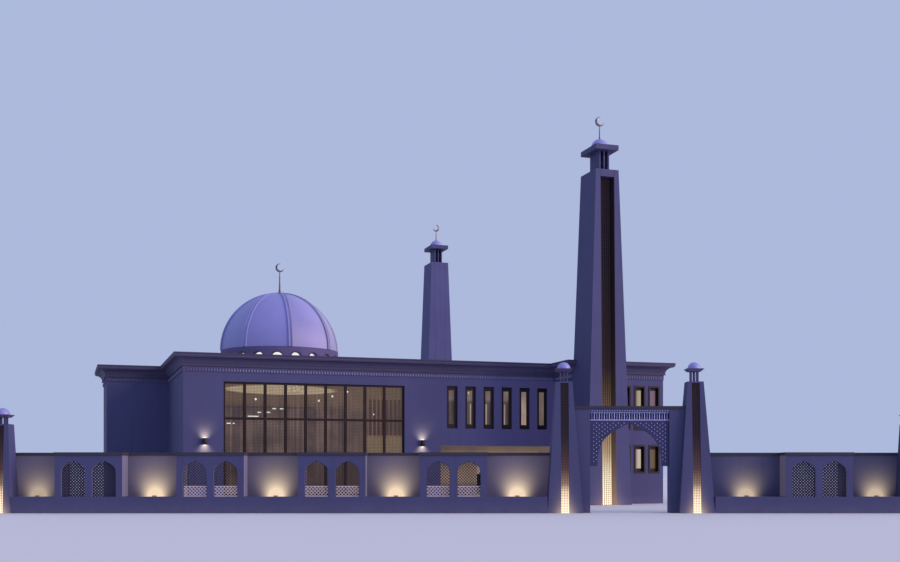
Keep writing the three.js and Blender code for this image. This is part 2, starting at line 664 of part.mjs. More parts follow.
// Inner faces of the two gate pylons, as half-widths of the gate at a height
function gateHalf(z) {
  return PYLON_OFFSET - PYLON.base / 2 + ((PYLON.base - PYLON.top) / 2) * (z / PYLON.height) - FIT;
}

function gate(group) {
  const g = GATE_WALL;
  const wall = outline([
    [-gateHalf(0), 0], [-PORTAL, 0], [-PORTAL, g.opening], [PORTAL, g.opening], [PORTAL, 0],
    [gateHalf(0), 0], [gateHalf(g.top), g.top], [-gateHalf(g.top), g.top],
  ]);
  const behindFins = ARCH_SCREEN.front + FINS.depth + FIT;
  const side = PORTAL + OVERLAP;
  const lintel = box(-side, side, behindFins, g.back, FINS.bottom, g.opening + OVERLAP);
  const whole = geometryOf(joined([frontPlate(wall, g.front, g.back), lintel]));
  add(group, 'gate_wall', whole, lilacRender());

  const foot = g.top + FIT;
  const copingTop = foot + g.coping;
  const coping = outline([[-gateHalf(foot), foot], [gateHalf(foot), foot],
    [gateHalf(copingTop), copingTop], [-gateHalf(copingTop), copingTop]]);
  add(group, 'gate_coping', frontPlate(coping, g.front - g.lip, g.back + g.lip), darkCoping());

  const edge = PORTAL - FIT;
  const front = ARCH_SCREEN.front;
  const finTop = FINS.top - FIT;
  const parts = [
    box(-edge, edge, front, front + FINS.depth, FINS.bottom, FINS.bottom + FINS.rail),
    box(-edge, edge, front, front + FINS.depth, finTop - FINS.rail, finTop),
  ];
  const sideFins = Math.floor(edge / FINS.pitch);
  for (let i = -sideFins; i <= sideFins; i += 1) {
    const half = (i % 2 === 0 ? FINS.thick : FINS.thin) / 2;
    const x = i * FINS.pitch;
    const [near, far] = [front + FINS.inset, front + FINS.depth - FINS.inset];
    parts.push(box(x - half, x + half, near, far, FINS.bottom + OVERLAP, finTop - OVERLAP));
  }
  add(group, 'gate_fins', geometryOf(joined(parts)), paleFin());

  const s = ARCH_SCREEN;
  const top = FINS.bottom - FIT;
  const screen = solid(frontPlate(rectangle(-edge, edge, s.bottom, top), s.front, s.front + s.depth));
  const hole = pointedArch(0, s.half, s.bottom - CUT_PAST, s.bottom, s.apex, GATE_CURVE);
  const cut = solid(frontPlate(hole, s.front - CUT_PAST, s.front + s.depth + CUT_PAST, 10));
  add(group, 'gate_screen', geometryOf(screen.subtract(cut)), shadedRender());

  add(group, 'gate_pylon_left', geometryOf(pylon(PYLON, -PYLON_OFFSET)), lilacRender());
  add(group, 'gate_pylon_right', geometryOf(pylon(PYLON, PYLON_OFFSET)), lilacRender());
  add(group, 'end_pylon_left', geometryOf(pylon(END_PYLON, LEFT_END)), lilacRender());
  add(group, 'end_pylon_right', geometryOf(pylon(END_PYLON, RIGHT_END)), lilacRender());
}

// One side of the street wall: panels with paired arches stand forward, planters fill the bays between
function streetWall(group, side, from, to, pylons, panels) {
  const s = STREET;
  const back = s.reveal + s.wall;
  const [lowFrom, lowTo] = [from + pylons[0].base / 2 + FIT, to - pylons[1].base / 2 - FIT];
  let wall = solid(box(from, to, s.reveal, back, 0, s.height));
  wall = wall.add(solid(box(lowFrom, lowTo, 0, back, 0, s.plinth)));
  const lip = s.lip;
  const copingFoot = s.height + FIT;
  const copingTop = copingFoot + s.coping;
  let coping = solid(box(from, to, s.reveal - lip, back + lip, copingFoot, copingTop));
  for (const x of panels) {
    const end = x + PANEL.width;
    const middle = (x + end) / 2;
    wall = wall.add(solid(box(x, end, 0, back, 0, s.height)));
    const [inLeft, inRight] = [x + s.wall, end - s.wall];
    const hollow = box(inLeft, inRight, s.wall, back + OVERLAP, -OVERLAP, s.height + OVERLAP);
    wall = wall.subtract(solid(hollow));
    for (const dx of [-ARCH.offset, ARCH.offset]) {
      const half = ARCH.width / 2;
      const shape = pointedArch(middle + dx, half, s.plinth, ARCH.spring, ARCH.apex, STREET_CURVE);
      wall = wall.subtract(solid(frontPlate(shape, -CUT_PAST, s.wall + CUT_PAST, 6)));
    }
    coping = coping.add(solid(box(x - lip, end + lip, -lip, back + lip, copingFoot, copingTop)));
    const open = s.wall + lip;
    const [above, below] = [copingTop + OVERLAP, copingFoot - OVERLAP];
    const gap = box(x + open, end - open, open, back + lip + OVERLAP, below, above);
    coping = coping.subtract(solid(gap));
  }
  for (const [p, x] of [[pylons[0], from], [pylons[1], to]]) {
    const envelope = solid(pylonFrustum(p, x, 2 * FIT));
    wall = wall.subtract(envelope);
    coping = coping.subtract(envelope);
  }
  add(group, `street_wall_${side}`, geometryOf(wall), lilacRender());
  add(group, `street_coping_${side}`, geometryOf(coping), darkCoping());
}

function street(group) {
  const left = [];
  const right = [];
  for (let i = 0; i < PANEL_COUNT.left; i += 1) {
    left.push(-PANEL.leftFirst - PANEL.width - i * PANEL.period);
  }
  for (let i = 0; i < PANEL_COUNT.right; i += 1) {
    right.push(PANEL.rightFirst + i * PANEL.period);
  }
  streetWall(group, 'left', LEFT_END, -PYLON_OFFSET, [END_PYLON, PYLON], left);
  streetWall(group, 'right', PYLON_OFFSET, RIGHT_END, [PYLON, END_PYLON], right);
}

function mainBuilding() {
  const group = new THREE.Group();
  hallWall(group, 'front', false);
  hallWall(group, 'back', true);
  link(group);
  blockEnd(group, 'front', false);
  blockEnd(group, 'back', true);
  blockReturns(group);
  rightWall(group);
  leftWalls(group);
  floors(group);
  cornice(group);
  drum(group);
  domeShell(group);
  domeRibs(group);
  const crown = SPRING + FIT + DOME_RADIUS + RIB.proud;
  const top = geometryOf(finial(FINIAL, crown + FIT)).translate(DOME_X, DOME_Y, 0);
  add(group, 'dome_finial', top, bronze());
  return group;
}

function mosque() {
  const site = new THREE.Group();
  site.add(mainBuilding());

  const front = minaret('front');
  front.position.set(MINARET_X, MINARET_Y, 0);
  site.add(front);
  const back = minaret('back');
  back.position.set(MINARET_X, BUILDING_DEPTH - MINARET_Y, 0);
  back.rotation.z = Math.PI;
  site.add(back);

  const streetGroup = new THREE.Group();
  gate(streetGroup);
  street(streetGroup);
  streetGroup.position.set(GATE_X, GATE_Y, 0);
  streetGroup.rotation.z = STREET_TURN;
  site.add(streetGroup);

  // The origin is on the ground below the centre of the dome
  site.position.set(-DOME_X, -DOME_Y, 0);
  const model = new THREE.Group();
  model.add(site);
  model.scale.setScalar(MODEL_SCALE);
  return model;
}

export default mosque();
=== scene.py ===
"""Looks of a half-size mosque building with a gated street wall, laid out as an add-on.

Sizes are real metres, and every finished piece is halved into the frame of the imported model.
Plan places are measured from the left front corner of the prayer hall, and those of the street
wall from the middle of the gate, with x along the wall and y to the back.
"""

import math
from functools import cache

import bmesh
import bpy
from bpy.props import FloatProperty, FloatVectorProperty, PointerProperty
from mathutils import Matrix, Vector


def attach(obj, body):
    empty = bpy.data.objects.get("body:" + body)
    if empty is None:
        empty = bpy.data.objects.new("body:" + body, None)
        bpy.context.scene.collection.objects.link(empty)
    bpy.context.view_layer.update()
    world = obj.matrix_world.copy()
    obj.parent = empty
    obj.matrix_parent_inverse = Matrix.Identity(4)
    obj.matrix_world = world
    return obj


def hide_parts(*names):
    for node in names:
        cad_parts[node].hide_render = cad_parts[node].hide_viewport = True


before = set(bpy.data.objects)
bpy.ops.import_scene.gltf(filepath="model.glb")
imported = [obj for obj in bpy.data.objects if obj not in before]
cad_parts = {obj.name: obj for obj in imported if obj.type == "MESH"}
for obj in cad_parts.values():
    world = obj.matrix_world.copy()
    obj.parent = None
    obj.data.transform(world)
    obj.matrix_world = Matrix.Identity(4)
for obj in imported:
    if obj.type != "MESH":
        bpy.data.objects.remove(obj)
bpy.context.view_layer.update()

bl_info = {
    "name": "Mosque building",
    "version": (1, 0, 0),
    "blender": (4, 5, 0),
    "location": "3D View > Sidebar > Mosque",
    "description": "Dresses the packed mosque building with its lattices, frames, lamps and finishes",
    "category": "Object",
}

HALF = 0.5
DOME_AT = Vector((8.09, 12.75, 0.0))
GATE_AT = Vector((19.706, -19.712, 0.0))
STREET_TURN = math.radians(-18.4)
BUILDING = Matrix.Scale(HALF, 4) @ Matrix.Translation(-DOME_AT)
STREET = BUILDING @ Matrix.Translation(GATE_AT) @ Matrix.Rotation(STREET_TURN, 4, "Z")
FACING_FRONT = (math.pi / 2, 0.0, 0.0)

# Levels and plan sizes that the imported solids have
DEPTH = 25.5
HALL_END = 16.2
LINK_END = 24.2
RIGHT_FACE = 30.7
PROJECTION = 2.8
PORCH_DEPTH = 3.2
PORCH_HEAD = 3.85
FIRST_FLOOR = 4.5
MIHRAB = (4.05, 10.0, 15.5)
UPPER = (4.87, 7.6)
LOWER = (2.07, 3.74)
HALL_WINDOW = {"left": 2.39, "right": 13.79, "sill": 0.6, "head": 7.54}
SPRING = 10.75
DOME_RADIUS = 4.2
DOME_FLATNESS = 0.62
DOME_THICKNESS = 0.25
DRUM_THICKNESS = 0.3
ROOF_TOP = 8.35
CROWN = 15.02
GATE_CURVE = (0.67, 0.66, 0.255)
ARCH_CURVE = (0.6, 0.55, 0.25)
MINARET_X = 25.4
MINARET_Y = -4.24
MINARET_TOP = 20.95
MINARET_FOOT_WIDTH = 2.87
MINARET_TOP_WIDTH = 2.23
STREET_PLINTH = 0.81
REVEAL = 1.1
PANEL_WIDTH = 3.32
PANELS = (-10.43, -16.43, -22.43, -28.43, 7.6)
BAY_LAMPS = (-29.6, -23.75, -17.68, -11.66, -5.58, 5.9, 12.4)
WALL_LAMPS = (1.25, 14.95)
LAMP_LEVEL = 3.89
LAMP_HALF = 0.2
SLOT_JAMB = (0.455, 0.475)

# Place along the street wall, width of the foot, level of the top and height of the cap on it
PYLONS = {
    "gate_pylon_left": (-3.26, 1.75, 6.53, 0.65),
    "gate_pylon_right": (3.26, 1.75, 6.53, 0.65),
    "end_pylon_left": (-31.2, 1.2, 4.41, 0.47),
    "end_pylon_right": (13.99, 1.2, 4.41, 0.47),
}

# Middle of the first slim window of a row, distance between middles, and number of windows
LINK_ROW = (16.99, 1.258, 6)
BLOCK_ROW = (27.93, 1.05, 3)
SIDE_ROW = (DEPTH / 2 - 4.5 * 2.516, 2.516, 10)

MINARETS = {
    side: BUILDING @ Matrix.Translation((MINARET_X, y, 0.0)) @ Matrix.Rotation(turn, 4, "Z")
    for side, y, turn in (("front", MINARET_Y, 0.0), ("back", DEPTH - MINARET_Y, math.pi))
}


def srgb(red, green, blue):
    """Scene-linear colour of an 8-bit colour as a screen shows it."""
    return tuple(((c / 255 + 0.055) / 1.055) ** 2.4 if c > 10 else c / 3294.6 for c in (red, green, blue))


def tinted(shade, *factors):
    """A colour with its red, green and blue scaled, each by its own factor or all by one."""
    return tuple(c * f for c, f in zip(shade, factors * 3 if len(factors) == 1 else factors))


def metres(name, description, default):
    return FloatProperty(name=name, description=description, default=default, min=0.001, subtype="DISTANCE",
                         unit="LENGTH")


def colour(name, description, default):
    return FloatVectorProperty(name=name, description=description, default=default, size=3, min=0.0, max=1.0,
                               subtype="COLOR")


class MosqueSizes(bpy.types.PropertyGroup):
    """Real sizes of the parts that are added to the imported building."""

    stile: metres("Stile", "Width of a slim window's stiles", 0.19)
    top_rail: metres("Top rail", "Height of a slim window's top rail", 0.26)
    foot_rail: metres("Bottom rail", "Height of a slim window's bottom rail", 0.29)
    block_stile: metres("Block stile", "Width of the stiles in the block's windows", 0.13)
    block_lap: metres("Block architrave", "Width of the frame around the block's windows", 0.09)
    sash_depth: metres("Sash setback", "How far a slim window's sash stands back in the wall", 0.16)
    hall_mesh: metres("Hall lattice pitch", "Distance between the bars of the hall window's lattice", 0.09)
    hall_bar: metres("Hall lattice bar", "Width of the bars of the hall window's lattice", 0.014)
    dentil_pitch: metres("Dentil pitch", "Distance between dentils under the cornice", 0.174)
    dentil_high: metres("Dentil height", "Height of a dentil", 0.14)
    rib_width: metres("Rib width", "Width of a raised rib of the dome", 0.3)
    strip_mesh: metres("Strip lattice pitch", "Size of a cell of the lattices in the minarets", 0.125)
    strip_bar: metres("Strip lattice bar", "Width of the bars of those lattices", 0.032)
    arch_mesh: metres("Arch lattice pitch", "Size of a cell of the lattices in the street arches", 0.104)
    arch_bar: metres("Arch lattice bar", "Width of the bars of those lattices", 0.026)
    rail_mesh: metres("Balustrade pitch", "Size of a cell of the balustrades in the street arches", 0.122)
    rail_bar: metres("Balustrade bar", "Width of the bars of those balustrades", 0.028)
    diamond: metres("Screen diamond", "Width of a diamond inlaid in the gate's screen", 0.07)


class MosqueColours(bpy.types.PropertyGroup):
    """Colours of the finishes, as they are under white light."""

    render: colour("Wall render", "Smooth lilac wall render", (0.0523, 0.0558, 0.151))
    street: colour("Street render", "Lilac render of the street wall", (0.0520, 0.0555, 0.150))
    cornice: colour("Cornice", "Darker render of the cornice", (0.064, 0.058, 0.135))
    coping: colour("Coping", "Dark stone of the copings", (0.028, 0.025, 0.045))
    dome: colour("Dome plaster", "Pale violet plaster of the domes", (0.270, 0.270, 0.620))
    screen: colour("Gate screen", "Deep blue render of the gate's arched screen", (0.030, 0.031, 0.110))
    pale: colour("Pale paint", "Paint of the fins over the gate", (0.460, 0.460, 0.790))
    balustrade: colour("Balustrade paint", "Paint of the balustrades in the arches", (0.40, 0.34, 0.36))
    bronze: colour("Bronze", "Dark bronze of frames and lattices", (0.022, 0.014, 0.018))
    concrete: colour("Concrete", "Roof and floor slabs", (0.200, 0.190, 0.290))
    floor: colour("Stage floor", "Plain pale floor below the building", (0.72, 0.72, 0.74))


def sizes():
    return bpy.context.scene.mosque_sizes


def colours():
    return bpy.context.scene.mosque_colours


def forward(operation):
    """A method that gives this Math operation of a signal and what follows it."""
    return lambda self, other=None: self.math(operation, self, other)


def reflected(operation):
    """The same with the signal last, as in 1 - mask."""
    return lambda self, other: self.math(operation, other, self)


class Signal:
    """A socket in a finish. Python operators on it add Math nodes."""

    def __init__(self, finish, socket):
        self.finish = finish
        self.socket = socket

    def math(self, operation, first, second=None):
        inputs = {0: first} if second is None else {0: first, 1: second}
        return self.finish.node("Math", {"operation": operation}, inputs)

    __add__, __radd__ = forward("ADD"), reflected("ADD")
    __sub__, __rsub__ = forward("SUBTRACT"), reflected("SUBTRACT")
    __mul__, __rmul__ = forward("MULTIPLY"), reflected("MULTIPLY")
    __truediv__, __rtruediv__ = forward("DIVIDE"), reflected("DIVIDE")
    __pow__, __rpow__ = forward("POWER"), reflected("POWER")
    __mod__, __rmod__ = forward("FLOORED_MODULO"), reflected("FLOORED_MODULO")
    __abs__ = forward("ABSOLUTE")
    above, below = forward("GREATER_THAN"), forward("LESS_THAN")
    at_least, at_most = forward("MAXIMUM"), forward("MINIMUM")
    floor = forward("FLOOR")

    def within(self, low, high):
        """1 between low and high, 0 elsewhere."""
        return self.above(low) * self.below(high)

    def near(self, level, reach):
        """1 within reach of a level, 0 elsewhere."""
        return abs(self - level).below(reach)

    def fall(self):
        """e to the power of minus this."""
        return self.math("EXPONENT", self * -1.0)

    def bell(self, middle, width):
        """1 in the middle, fading to both sides."""
        return (((self - middle) / width) ** 2.0).fall()

    def rise(self, low, high):
        """0 at low and 1 at high, smooth between."""
        return self.finish.node("MapRange", {"interpolation_type": "SMOOTHSTEP"},
                                {"Value": self, "From Min": low, "From Max": high})


class Finish:
    """A procedural material on object coordinates, read as real metres.

    Its place and axes are those of the plan, or with street=True those of the street wall.
    """

    def __init__(self, name, street=False, **constants):
        self.material = bpy.data.materials.new(name)
        self.material.use_nodes = True
        self.tree = self.material.node_tree
        self.tree.nodes.clear()
        self.shader = self.tree.nodes.new("ShaderNodeBsdfPrincipled")
        output = self.tree.nodes.new("ShaderNodeOutputMaterial")
        self.tree.links.new(self.shader.outputs[0], output.inputs[0])
        self.set(**constants)
        turn, origin = (STREET_TURN, GATE_AT) if street else (0.0, Vector())
        shift = Matrix.Rotation(-turn, 4, "Z") @ (DOME_AT - origin)
        self.place = self.node("Mapping", {"vector_type": "POINT"}, {
            "Vector": self.node("TexCoord", output=3), "Scale": (1 / HALF, 1 / HALF, 1 / HALF),
            "Rotation": (0.0, 0.0, -turn), "Location": tuple(shift)})
        self.axes = [self.node("SeparateXYZ", None, {0: self.place}, output) for output in range(3)]

    def feed(self, socket, value):
        if isinstance(value, Signal):
            self.tree.links.new(value.socket, socket)
        elif hasattr(value, "__len__"):
            socket.default_value = (*value, 1.0)[:len(socket.default_value)]
        else:
            socket.default_value = value

    def node(self, kind, settings=None, inputs=None, output=0):
        node = self.tree.nodes.new("ShaderNode" + kind)
        for key, value in (settings or {}).items():
            if key == "stops":
                ramp = node.color_ramp
                while len(ramp.elements) < len(value):
                    ramp.elements.new(0.5)
                for element, (place, shade) in zip(ramp.elements, value):
                    element.position = place
                    element.color = (*shade, 1.0)
            else:
                setattr(node, key, value)
        for key, value in (inputs or {}).items():
            self.feed(node.inputs[key], value)
        return Signal(self, node.outputs[output])

    def set(self, **inputs):
        for socket, value in inputs.items():
            self.feed(self.shader.inputs[socket.replace("_", " ")], value)
        return self.material

    def stretched(self, factors):
        return self.node("VectorMath", {"operation": "MULTIPLY"}, {0: self.place, 1: factors})

    def noise(self, scale, detail=3.0, rough=0.55, stretch=None):
        place = self.stretched(stretch) if stretch else self.place
        return self.node("TexNoise", None,
                         {"Vector": place, "Scale": scale, "Detail": detail, "Roughness": rough})

    def scaled(self, shade, factor):
        return self.node("VectorMath", {"operation": "SCALE"}, {0: shade, "Scale": factor})

    def summed(self, first, second):
        return self.node("VectorMath", {"operation": "ADD"}, {0: first, 1: second})

    def mixed(self, factor, first, second):
        return self.node("Mix", {"data_type": "RGBA"}, {0: factor, 6: first, 7: second}, output=2)

    def layered(self, shade, *layers):
        """A shade with others laid over it in turn, each by its own factor."""
        for factor, over in layers:
            shade = self.mixed(factor, shade, over)
        return shade

    def ramp(self, factor, stops):
        return self.node("ValToRGB", {"stops": stops}, {"Fac": factor})

    def bumped(self, height, distance, strength):
        return self.node("Bump", None, {"Height": height, "Distance": distance, "Strength": strength})


def weathered(finish, shade, clouds=0.16):
    """Render colour with broad clouding, sand grain, rain streaks and dust near the ground."""
    cloud = finish.noise(0.35, 4.0)
    patch = finish.noise(1.7)
    grain = finish.noise(38.0, 2.0, 0.6)
    streak = finish.noise(1.0, 4.0, 0.6, stretch=(2.6, 2.6, 0.14))
    dust = (1.0 - finish.axes[2].rise(0.0, 0.7)) * patch
    stain = streak.rise(0.5, 0.72) * 0.10
    tone = 1.0 + (cloud - 0.5) * clouds * 2.0 + (patch - 0.5) * 0.10 + (grain - 0.5) * 0.16 - stain
    return finish.mixed(dust * 0.35, finish.scaled(shade, tone), (0.20, 0.17, 0.22)), grain, patch


def render_finish(name, shade="render", tint=(1.0,), over=None, light=None, street=False):
    """Wall render in one of the colours, tinted.

    over takes x, y and z, and gives where another colour lies, and that colour. light takes the
    finish and its x, y and z, and gives the light painted on it: lamplight, and in places painted light from
    no lamp.
    """
    finish = Finish(name, street)
    body = tinted(getattr(colours(), shade), *tint)
    if over is not None:
        where, other = over(*finish.axes)
        body = finish.mixed(where, body, other)
    body, grain, patch = weathered(finish, body)
    trowel = finish.noise(5.0, stretch=(1.0, 1.0, 2.4))
    if light is not None:
        finish.set(Emission_Strength=1.0, Emission_Color=light(finish, *finish.axes))
    return finish.set(Base_Color=body, Roughness=0.78 + (patch - 0.5) * 0.16 + (grain - 0.5) * 0.1,
                      Normal=finish.bumped(grain * 0.25 + trowel * 0.75, 0.004, 0.35))


def gate_recess(x, y, z):
    """Deep blue in the recess behind the fins of the gate."""
    return abs(x).below(1.968) * z.within(4.602, 5.008) * y.within(0.6, 0.9), colours().screen


def slot_jambs(x, y, z):
    """Dark bronze on the jambs of a minaret's lattice strip."""
    return abs(x - MINARET_X).within(*SLOT_JAMB), (0.026, 0.014, 0.022)


def painted_light_on_dentils(x, y, z):
    """Painted light: a paler colour for the dentils along the middle of the front, where the evening light
    falls, and less of it beyond the link.
    """
    return x.rise(0.5, 4.0) * (1.0 - x.above(LINK_END) * 0.6), tinted(colours().render, 3.7, 3.9, 2.8)


def lamp_fans(finish, x, y, z):
    """Light that the two wall lamps throw up and down the front of the hall, and a faint bluish painted light
    that grows to the right.
    """
    def fan(at, way):
        away = (z - (LAMP_LEVEL + way * LAMP_HALF)) * way
        reach = away.at_least(0.0)
        return x.bell(at, reach * 0.5 + 0.16) * (reach / 0.28).fall() * away.above(0.0)

    front = y.below(0.05)
    fans = sum(fan(at, way) for at in WALL_LAMPS for way in (1.0, -1.0))
    # Painted light from no lamp: faint and bluish, growing to the right of the front
    right = finish.scaled((0.006, 0.005, 0.014), x.rise(10.0, 15.0) * front)
    return finish.summed(finish.scaled((1.05, 0.84, 0.74), fans * front), right)


def room_light(finish, x, y, z):
    """Soft lamplight on what is inside the ground-floor rooms."""
    inside = x.within(15.5, 30.3) * y.within(PORCH_DEPTH + 0.02, DEPTH - 0.35) * z.below(8.0)
    return finish.scaled((0.10, 0.07, 0.04), inside)


def porch_light(finish, x, y, z):
    """Warm downlight on the back wall of the porch, and the light of the rooms behind it."""
    wave = finish.noise(1.0, 2.0, stretch=(0.8, 0.8, 0.2))
    down = (1.75 - z.rise(1.8, 3.5)) * (0.15 + z.rise(0.9, 1.5) * 0.85)
    head = z.rise(3.22, 3.3) * (0.36 - z.rise(3.32, 3.68) * 0.5 + x.rise(17.5, 21.5) * 0.45)
    level = (0.55 + wave * 0.7) * down * (1.0 + head) * y.below(PORCH_DEPTH + 0.005)
    return finish.summed(finish.scaled((0.155, 0.104, 0.062), level), room_light(finish, x, y, z))


def soffit_light(finish, x, y, z):
    """Warm light on the underside of the first floor over the porch, and that of the rooms."""
    inside = x.within(HALL_END - 0.1, LINK_END + 0.1) * y.below(3.05) * z.below(PORCH_HEAD)
    return finish.summed(finish.scaled((0.062, 0.045, 0.031), inside), room_light(finish, x, y, z))


def porch_side_light(finish, x, y, z):
    """Porch lamps on the wall that shuts the porch on the right."""
    inside = x.below(LINK_END + 0.05) * z.below(PORCH_HEAD) * y.rise(-2.8, 1.0)
    return finish.scaled((0.12, 0.085, 0.06), inside)


def link_light(finish, x, y, z):
    """Faint light on the link, stronger to the right, and that of the rooms behind it."""
    right = x.rise(13.5, 20.6) * x.below(LINK_END) * y.below(0.1)
    return finish.summed(finish.scaled((0.019, 0.015, 0.051), right), room_light(finish, x, y, z))


def bay_light(finish, x, y, z):
    """Uplight in the bays of the street wall, with painted light on the returns at their sides."""
    up = (z - STREET_PLINTH).at_least(0.0)
    wall = y.near(REVEAL, 0.03) * z.above(STREET_PLINTH - 0.01)
    ledge = z.near(STREET_PLINTH, 0.01) * y.above(0.35)
    side = y.within(0.03, REVEAL - 0.03) * z.above(STREET_PLINTH + 0.01)
    right = x.above(3.5)
    pool = sum(x.bell(at, up * 0.4 + 0.42) for at in BAY_LAMPS)
    grain = finish.noise(9.0) * 0.12 + 0.94
    dimmed = 1.0 - x.below(-26.5) * 0.5 - right * 0.35
    level = (pool * (up / (0.52 - right * 0.07)).fall() * 1.9).at_most(0.88) * grain * dimmed
    warm = finish.scaled((1.0, 0.765, 0.47), level * (wall + ledge * 0.5))
    # Painted light: a faint warm haze on the bay walls left of the gate, and pale light on the returns
    haze = finish.scaled((0.026, 0.018, 0.018), wall * (1.0 - right))
    returns = finish.scaled((0.11, 0.085, 0.095), side * (1.0 - right * 0.5))
    return finish.summed(finish.summed(warm, haze), returns)


def pylon_light(finish, x, y, z):
    """Light that spills beside the strips at the feet of the street pylons."""
    beside = sum(x.bell(at, 0.42) for at, *_ in PYLONS.values())
    return finish.scaled((0.55, 0.38, 0.22), beside * y.below(0.4) * (z / 0.5).fall())


def slot_light(finish, x, y, z):
    """Light on the jambs of the minarets' lattice strips, and beside them at the foot."""
    jamb = slot_jambs(x, y, z)[0]
    beside = x.bell(MINARET_X, 0.75) * (z / 0.8).fall() * 0.35 * (1.0 - jamb)
    return finish.scaled((0.8, 0.5, 0.3), jamb * (z / 2.4).fall() * 0.36 + beside)


def bronze_finish(name, tint=(1.0,)):
    """Dark bronze, rubbed pale in patches."""
    finish = Finish(name, Metallic=0.55)
    shade = tinted(colours().bronze, *tint)
    wear = finish.noise(6.0, 4.0)
    brush = finish.noise(1.0, stretch=(40.0, 40.0, 3.0))
    rub = wear.rise(0.56, 0.76) * 0.45
    body = finish.mixed(rub, finish.scaled(shade, 0.8 + brush * 0.4), tinted(shade, 3.8, 4.1, 2.2))
    return finish.set(Base_Color=body, Roughness=0.36 + wear * 0.22 + brush * 0.06,
                      Normal=finish.bumped(brush, 0.001, 0.3))


def lattice_finish(name, metal, glow, reach):
    """Matt dark bronze of the tall lattices, browner where the light behind catches it."""
    finish = Finish(name, Specular_IOR_Level=0.25, Emission_Strength=1.0)
    wear = finish.noise(7.0, 4.0)
    level = (finish.axes[2] / reach).fall() * (0.6 + wear * 0.8)
    return finish.set(Base_Color=finish.scaled(metal, 0.7 + wear * 0.6), Roughness=0.6 + wear * 0.2,
                      Emission_Color=finish.scaled(glow, level), Normal=finish.bumped(wear, 0.001, 0.3))


def coping_finish(name):
    """Speckled stone in slabs with open joints."""
    finish = Finish(name, street=True)
    slab, half_slab_less_joint = 1.2, 0.592
    speck = finish.noise(55.0, 3.0, 0.7)
    cloud = finish.noise(1.2, 4.0)
    joint = 1.0 - (finish.axes[0] % slab).near(slab / 2, half_slab_less_joint)
    tone = 0.8 + cloud * 0.4 + (speck - 0.5) * 0.5 - joint * 0.45
    return finish.set(Base_Color=finish.scaled(colours().coping, tone), Roughness=0.58 + cloud * 0.25,
                      Normal=finish.bumped(speck * 0.3 - joint, 0.004, 0.5))


def cornice_finish(name):
    """Render of the cornice with its dark lip and rain streaks, painted light over the link, and painted shade
    in the cove and in dark lines along its courses.
    """
    finish = Finish(name)
    x, y, z = finish.axes
    # Painted light: the cornice render is lighter over the link, towards the block
    painted_light_over_link = x.rise(16.0, 21.0) * x.below(LINK_END) * y.below(1.0)
    shade = finish.scaled(colours().cornice, 1.0 + painted_light_over_link * 0.45)
    body, grain, patch = weathered(finish, shade, 0.12)
    run = finish.noise(1.0, 4.0, stretch=(4.0, 4.0, 0.3))
    fascia, lip, cove = z.rise(8.955, 8.985), z.rise(9.185, 9.195), z.within(8.5, 8.93)
    # Painted shadow: dark lines along three courses of the moulding, and painted shade in the cove
    lines = sum(z.near(level, half) * depth
                for level, half, depth in ((9.115, 0.03, 0.85), (8.6, 0.03, 0.5), (8.465, 0.028, 0.5)))
    streaked = finish.layered(
        body,
        (fascia * 0.25, finish.scaled(colours().cornice, 0.55)),
        (cove * 0.1 + lines, (0.018, 0.016, 0.038)),
        (lip, (0.022, 0.018, 0.034)),
        (run.rise(0.52, 0.75) * 0.22, (0.03, 0.026, 0.05)))
    return finish.set(Base_Color=streaked, Roughness=0.72 + (patch - 0.5) * 0.2,
                      Normal=finish.bumped(grain * 0.4 + patch * 0.6, 0.003, 0.3))


def dome_finish(name, shadow=0.0):
    """Plaster of the domes, with painted light, shade and highlight on the large dome. shadow darkens the
    large dome's ribs where they face the front and the right.
    """
    finish = Finish(name, Coat_Roughness=0.35)
    x, y, z = finish.axes
    cloud = finish.noise(0.9, 4.0)
    grain = finish.noise(30.0, 2.0)
    run = finish.noise(1.0, 4.0, stretch=(5.0, 5.0, 0.5))
    tone = 0.92 + cloud * 0.16 + (grain - 0.5) * 0.08 - run.rise(0.55, 0.8) * 0.08
    large = x.below(DOME_AT.x + 5.0)
    turn = y.math("ARCTAN2", y - DOME_AT.y, x - DOME_AT.x)
    front, front_right = -math.pi / 2, -math.pi / 4
    # Painted light and shade on the large dome: each panel lighter or darker by the way it faces, and darker
    # low down right of the front
    low = 1.0 - z.rise(11.6, 13.6)
    dim = (1.0 - turn.rise(-1.5, -1.0)) * 0.15 + 0.03 + low * 0.1
    panels = turn.rise(-2.3, -1.6) * 0.12 - turn.above(front) * dim - 0.06
    # Painted highlight: paler and pinker right of the front, most beyond the front right rib
    edge = turn.above(front) * 0.15 + turn.rise(-1.2, -0.86) * 0.2 + turn.above(front_right) * 0.35
    level = (tone + panels * large) * (1.0 - turn.above(-1.9) * large * shadow)
    body = finish.scaled(finish.mixed(edge * large, colours().dome, (0.47, 0.46, 0.60)), level)
    return finish.set(Base_Color=body, Roughness=0.42 + cloud * 0.16, Coat_Weight=0.18 + grain * 0.1,
                      Normal=finish.bumped(grain * 0.3 + cloud * 0.7, 0.003, 0.3))


def paint_finish(name, shade, grime=0.0, glow=None, street=False):
    """Matt paint, with grime in patches or in the glow of the lamps near it."""
    finish = Finish(name, street)
    cloud = finish.noise(3.0, 4.0)
    grain = finish.noise(60.0, 2.0)
    body = finish.scaled(getattr(colours(), shade), 0.86 + cloud * 0.24 + (grain - 0.5) * 0.12)
    if grime:
        body = finish.mixed(cloud.rise(0.6, 0.8) * grime, body, (0.16, 0.14, 0.22))
    if glow:
        finish.set(Emission_Strength=1.0, Emission_Color=finish.scaled(glow, 0.5 + cloud))
    return finish.set(Base_Color=body, Roughness=0.5 + cloud * 0.25,
                      Normal=finish.bumped(grain, 0.001, 0.3))


